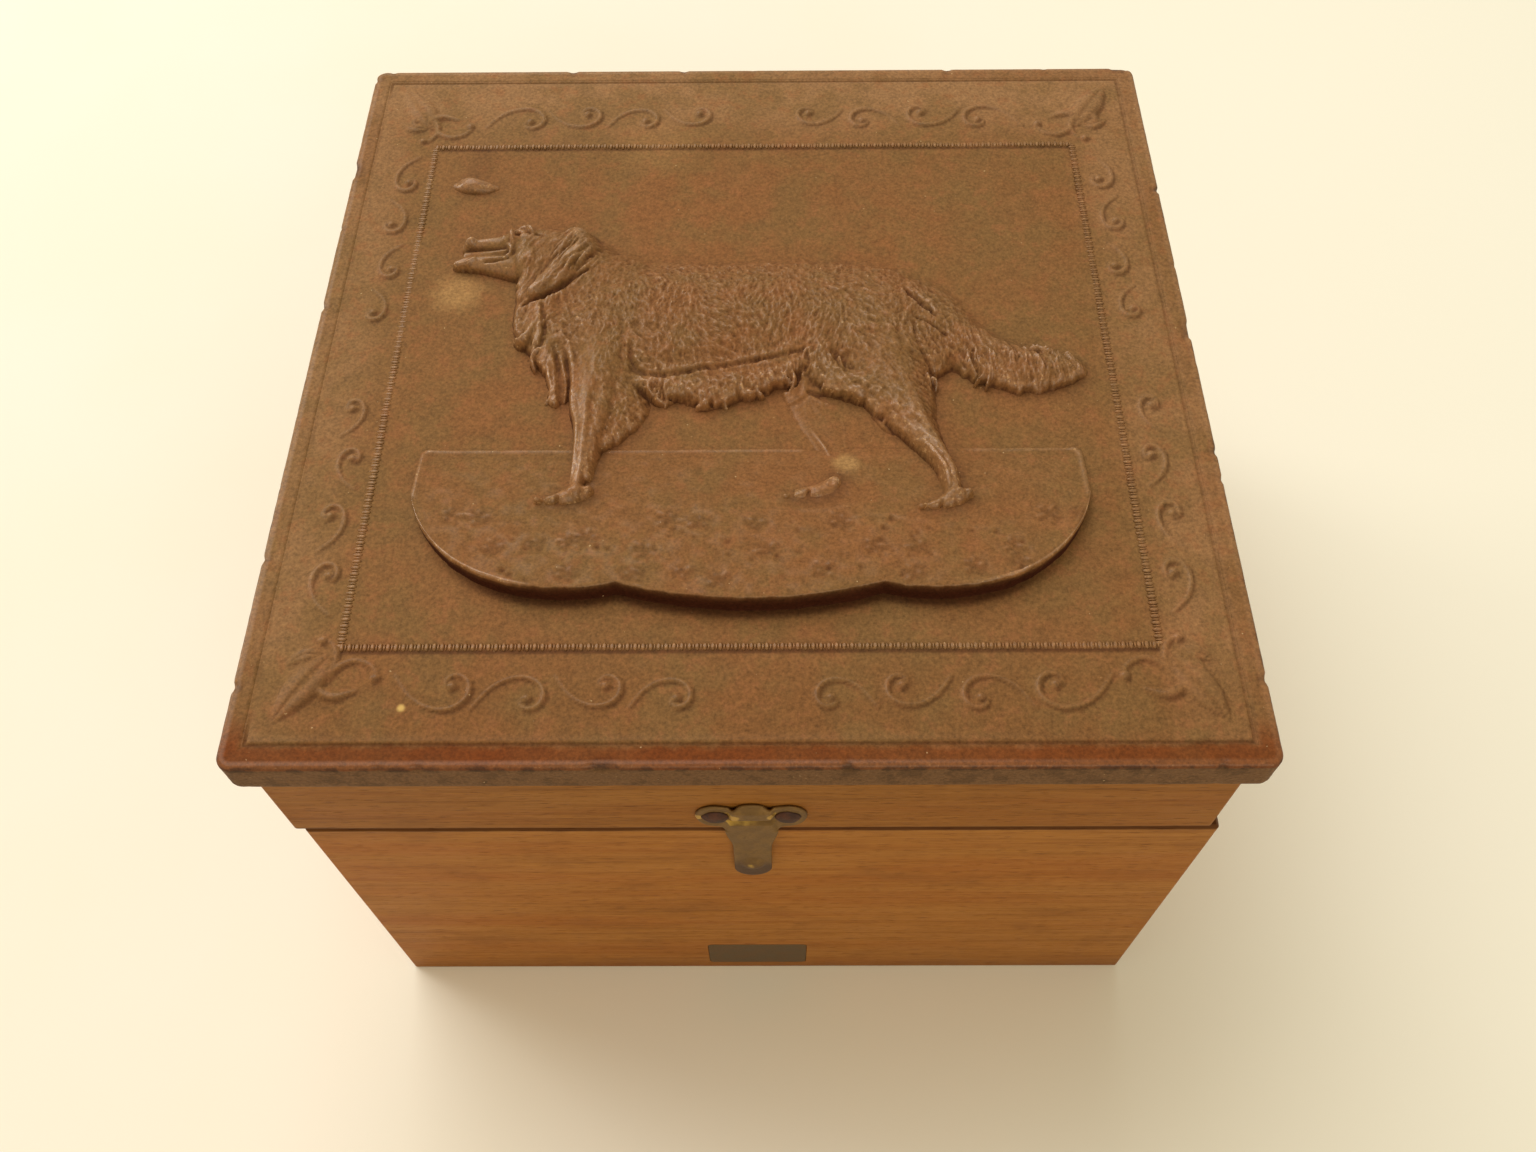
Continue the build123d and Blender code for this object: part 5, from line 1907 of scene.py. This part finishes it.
        # a painted highlight on the top of the dome
        painted_highlight = 0.75 * unit(1.3 - np.hypot((x + 0.4) / 1.3, z - self.dome_z - 0.5) / 0.9)
        dark = unit((self.end_z + self.dark_length - z) / 3.5) + 0.4 * unit((abs(x) - 8.6) / 0.8)
        return {"bright": np.maximum.reduce([*spots, painted_highlight]), "dark": unit(dark)}

    def surface(self) -> Surface:
        """The sheet: rows run from the outline in to the spine, on the front and then the back.

        Returns:
            The closed surface.
        """
        right, right_spine = self.half_outline()
        edge = np.concatenate([right, right[-2:0:-1] * (-1, 1)])
        spine = np.concatenate([right_spine, right_spine[-2:0:-1] * (-1, 1)])
        shares = np.array([0, 0.03, 0.07, 0.14, 0.24, 0.36, 0.5, 0.64, 0.78, 0.9, 0.985])[:, None, None]
        flat = edge * (1 - shares) + spine * shares
        x, z = flat[..., 0], flat[..., 1]
        inward = np.hypot(*(flat - edge).transpose(2, 0, 1))
        stand = self.lift(x, z) + value_noise(x, z, 3, 61) * 0.06
        round_off = 0.22 * unit(1 - inward / 0.3) ** 2
        front = np.stack([x, self.face - stand + round_off, z], -1).reshape(-1, 3)
        behind = np.minimum(self.face - stand + self.sheet * 0.92, self.face - 0.01)
        behind = np.stack([x, behind, z], -1).reshape(-1, 3)
        rows, count = x.shape
        here = np.arange(count)
        after = np.roll(here, -1)
        quads = grid_quads(rows, count, True)
        rim = np.stack([here, after, after + rows * count, here + rows * count], 1)
        fill = self.spine_fill((rows - 1) * count + here)
        quads = np.concatenate([quads, fill])
        quads = np.concatenate([quads, quads[:, ::-1] + rows * count, rim])
        marks = {key: np.tile(value.ravel(), 2) for key, value in self.marks(x, z).items()}
        return Surface(np.concatenate([front, behind]), quads, [], marks)

    def spine_fill(self, ring: Array) -> Array:
        """Close the narrow slot along the spine, from its right side to its left.

        Args:
            ring: The points round the slot.

        Returns:
            Rows of four point numbers.
        """
        half = len(ring) // 2
        right = ring[: half + 1]
        left = np.concatenate([ring[:1], ring[: half - 1 : -1]])
        return np.stack([right[:-1], right[1:], left[1:], left[:-1]], 1)[1:-1]

    def tacks(self) -> Surface:
        """Two hammered tack heads: domes whose outline and face are made uneven by noise.

        Returns:
            Both as one surface.
        """
        around = np.linspace(0, 2 * math.pi, 28, endpoint=False)[None, :]
        out = np.array([1, 1.02, 0.93, 0.8, 0.6, 0.38, 0.16])[:, None]
        drop = np.array([0, 0.16, 0.42, 0.68, 0.88, 0.98, 1])[:, None]
        made = []
        for seed, side in enumerate((-1, 1)):
            lumpy = 1 + 0.08 * value_noise(np.cos(around) * 3, np.sin(around) * 3, 1.4, 70 + seed)
            x = side * self.ear_x + self.tack_radius * 1.06 * out * lumpy * np.cos(around)
            z = self.ear_z + self.tack_radius * 0.98 * out * lumpy * np.sin(around)
            dent = 0.07 * value_noise(x, z, 0.9, 74 + seed)
            y = self.face - self.sheet - self.tack_rise * drop - dent * drop + 0.05
            made.append(capped_rings(np.stack([x, y, z], -1)))
        return joined(made)

    def build(self) -> list[bpy.types.Object]:
        """Make the sheet and its tack heads, which are put on the lid.

        Returns:
            The new objects.
        """
        sheet = self.surface().piece("hasp_sheet", BrassFinish("hasp_brass", True).material())
        y, high, low = self.face - self.rise, self.root_z + self.bend_above, self.root_z - self.bend_below
        y * MM
        high * MM
        y * MM
        low * MM
        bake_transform(sheet)
        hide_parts("hasp_plate", "hasp_tongue")
        iron = DarkMetalFinish("rusty_iron", (58, 36, 26), (84, 48, 30), 0.6).material()
        heads = self.tacks().piece("hasp_tack_heads", iron)
        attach(heads, "lid")
        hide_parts("hasp_tacks")
        return [sheet, heads]


# The box and the studio


@dataclass
class WoodenBox:
    """The boards, the hinges and the dark plate, which keep their shapes.

    The shellac reaches in over the boards' edges, up to the inset before their inner faces.
    """

    nodes: dict[str, bpy.types.Object]
    wall: float = 7.0
    inset: float = 0.5
    lid_tone: float = 0.8

    def dress(self) -> None:
        """Give every board, hinge piece and small plate its finish."""
        low, high = (np.array(corner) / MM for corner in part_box("base_front_board"))
        rim_low, rim_high = (np.array(corner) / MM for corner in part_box("lid_front_rail"))
        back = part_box("base_back_board")[1][1] / MM
        wall = self.wall - self.inset
        seam = (high[2] + rim_low[2]) / 2
        made = {}
        rows = ("base", 1.0, low[0], high[0]), ("lid", self.lid_tone, rim_low[0], rim_high[0])
        for part, tone, left, right in rows:
            inner = (left + wall, right - wall), (low[1] + wall, back - wall)
            for way, grain in (("across", Grain.X), ("deep", Grain.Y)):
                finish = WoodFinish(f"{part}_wood_{way}", grain, True, tone, seam, *inner)
                made[part, grain] = finish.material()
        bare = WoodFinish("bare_wood", Grain.X, False).material()
        brass = BrassFinish("hinge_brass", False).material()
        dark = DarkMetalFinish("dark_plate", (83, 62, 30), (94, 66, 33), 0.2).material()
        for name, node in self.nodes.items():
            if name in ("base_bottom_panel", "lid_top_board"):
                finish = bare
            elif name.endswith(("_board", "_rail")):
                finish = made[name.split("_")[0], Grain.Y if "left" in name or "right" in name else Grain.X]
            else:
                finish = dark if name == "front_plate" else brass
            node.data.materials.clear()
            node.data.materials.append(finish)
        log.info("dressed %d frame nodes", len(self.nodes))


@dataclass(frozen=True)
class Lamp:
    """A square soft lamp that shines at the box's foot, with its size in millimetres."""

    name: str
    place: tuple[float, float, float]
    size: float
    power: float
    tint: tuple[float, float, float]

    def hang(self) -> None:
        """Add the lamp to the scene."""
        lamp = bpy.data.lights.new(self.name, "AREA")
        lamp.size, lamp.energy, lamp.color = self.size * MM, self.power, self.tint
        made = bpy.data.objects.new(self.name, lamp)
        made.location = tuple(part * MM for part in self.place)
        made.rotation_euler = (-made.location).to_track_quat("-Z", "Y").to_euler()
        bpy.context.scene.collection.objects.link(made)


PALE_LIGHT, WARM_LIGHT = (1, 0.965, 0.905), (1, 0.915, 0.74)


@dataclass
class Studio:
    """A pale floor, soft lights and the camera at the photograph's viewing angle."""

    lens: float = 31.46
    sensor: float = 36.0
    place: tuple[float, float, float] = (4.19, -165.98, 305.35)
    pitch: float = 32.012
    yaw: float = 0.576
    roll: float = -0.711
    floor_half: float = 3000.0
    floor_colour: Colour = (254, 248, 238)
    floor_warm: Colour = (253, 247, 234)
    floor_lit_right: Colour = (255, 255, 244)
    world_light: Colour = (255, 237, 194)
    world_seen: Colour = (255, 248, 230)
    world_strength: float = 0.36
    seen_strength: float = 0.46
    lamps: tuple[Lamp, ...] = (
        Lamp("key", (-500, 740, 1480), 1400, 20.6, PALE_LIGHT),
        Lamp("window", (-1150, 520, 520), 420, 3, PALE_LIGHT),
        Lamp("fill", (300, -1000, 800), 900, 4.5, WARM_LIGHT),
    )

    def build(self) -> None:
        """Set up the floor, the lights, the world and the camera."""
        scene = bpy.context.scene
        scene.view_settings.view_transform = "Standard"
        self.floor()
        for lamp in self.lamps:
            lamp.hang()
        self.world()
        camera = bpy.data.objects.new("camera", bpy.data.cameras.new("camera"))
        camera.data.lens = self.lens
        camera.data.sensor_width = self.sensor
        camera.data.clip_start = 0.01
        camera.location = tuple(part * MM for part in self.place)
        turns = [(0, 0, self.yaw), (self.pitch, 0, 0), (0, 0, self.roll)]
        yaw, pitch, roll = (Euler([math.radians(part) for part in turn]).to_matrix() for turn in turns)
        camera.rotation_euler = (yaw @ pitch @ roll).to_euler()
        scene.collection.objects.link(camera)
        scene.camera = camera

    def floor(self) -> None:
        """A wide pale sheet of paper under the box, with painted light that makes it a little lighter to the
        right.
        """
        half = self.floor_half * MM
        mesh = bpy.data.meshes.new("floor")
        corners = [(-half, -half, 0), (half, -half, 0), (half, half, 0), (-half, half, 0)]
        mesh.from_pydata(corners, [], [(0, 1, 2, 3)])
        floor = bpy.data.objects.new("floor", mesh)
        bpy.context.scene.collection.objects.link(floor)
        tree = Tree("paper")
        colour = tree.mix(tree.noise(90, 3, 0.5).above(0.3, 0.7), self.floor_colour, self.floor_warm)
        # painted light: the floor grows lighter to the right
        colour = tree.mix(tree.axis("X").above(-120, 320), colour, self.floor_lit_right)
        inputs = {"Base Color": colour, "Roughness": 0.85, "Specular IOR Level": 0.2}
        floor.data.materials.append(tree.finish(inputs))

    def world(self) -> None:
        """A warm world, which looks paler and stronger to the camera and in reflections."""
        world = bpy.data.worlds.new("world")
        world.use_nodes = True
        tree = Tree("backdrop", world.node_tree)
        seen, *others = (tree.node("ShaderNodeLightPath", {}, {}, f"Is {ray} Ray")
                         for ray in ("Camera", "Glossy", "Transmission"))
        for other in others:
            seen = seen.at_least(other)
        inputs = {"Color": tree.mix(seen, self.world_light, self.world_seen),
                  "Strength": self.world_strength + seen * self.seen_strength}
        ground = tree.node("ShaderNodeBackground", {}, inputs)
        tree.node("ShaderNodeOutputWorld", {}, {"Surface": ground}, None)
        bpy.context.scene.world = world


def main() -> None:
    logging.basicConfig(level=logging.INFO, format="%(name)s: %(message)s")
    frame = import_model()
    Studio().build()
    WoodenBox(frame["nodes"]).dress()
    low, high = (np.array(corner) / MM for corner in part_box("relief_plate"))
    board_low, board_high = (np.array(corner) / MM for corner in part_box("base_front_board"))
    plate = MouldedPlate(high[0] - low[0], high[1] - low[1], low[2] + PLATE_THICKNESS, low[2])
    hasp = Hasp(board_low[1], board_high[2])
    for piece in [*plate.build(), *hasp.build()]:
        log.info("%s: %d faces", piece.name, len(piece.data.polygons))


if __name__ == "__main__":
    main()
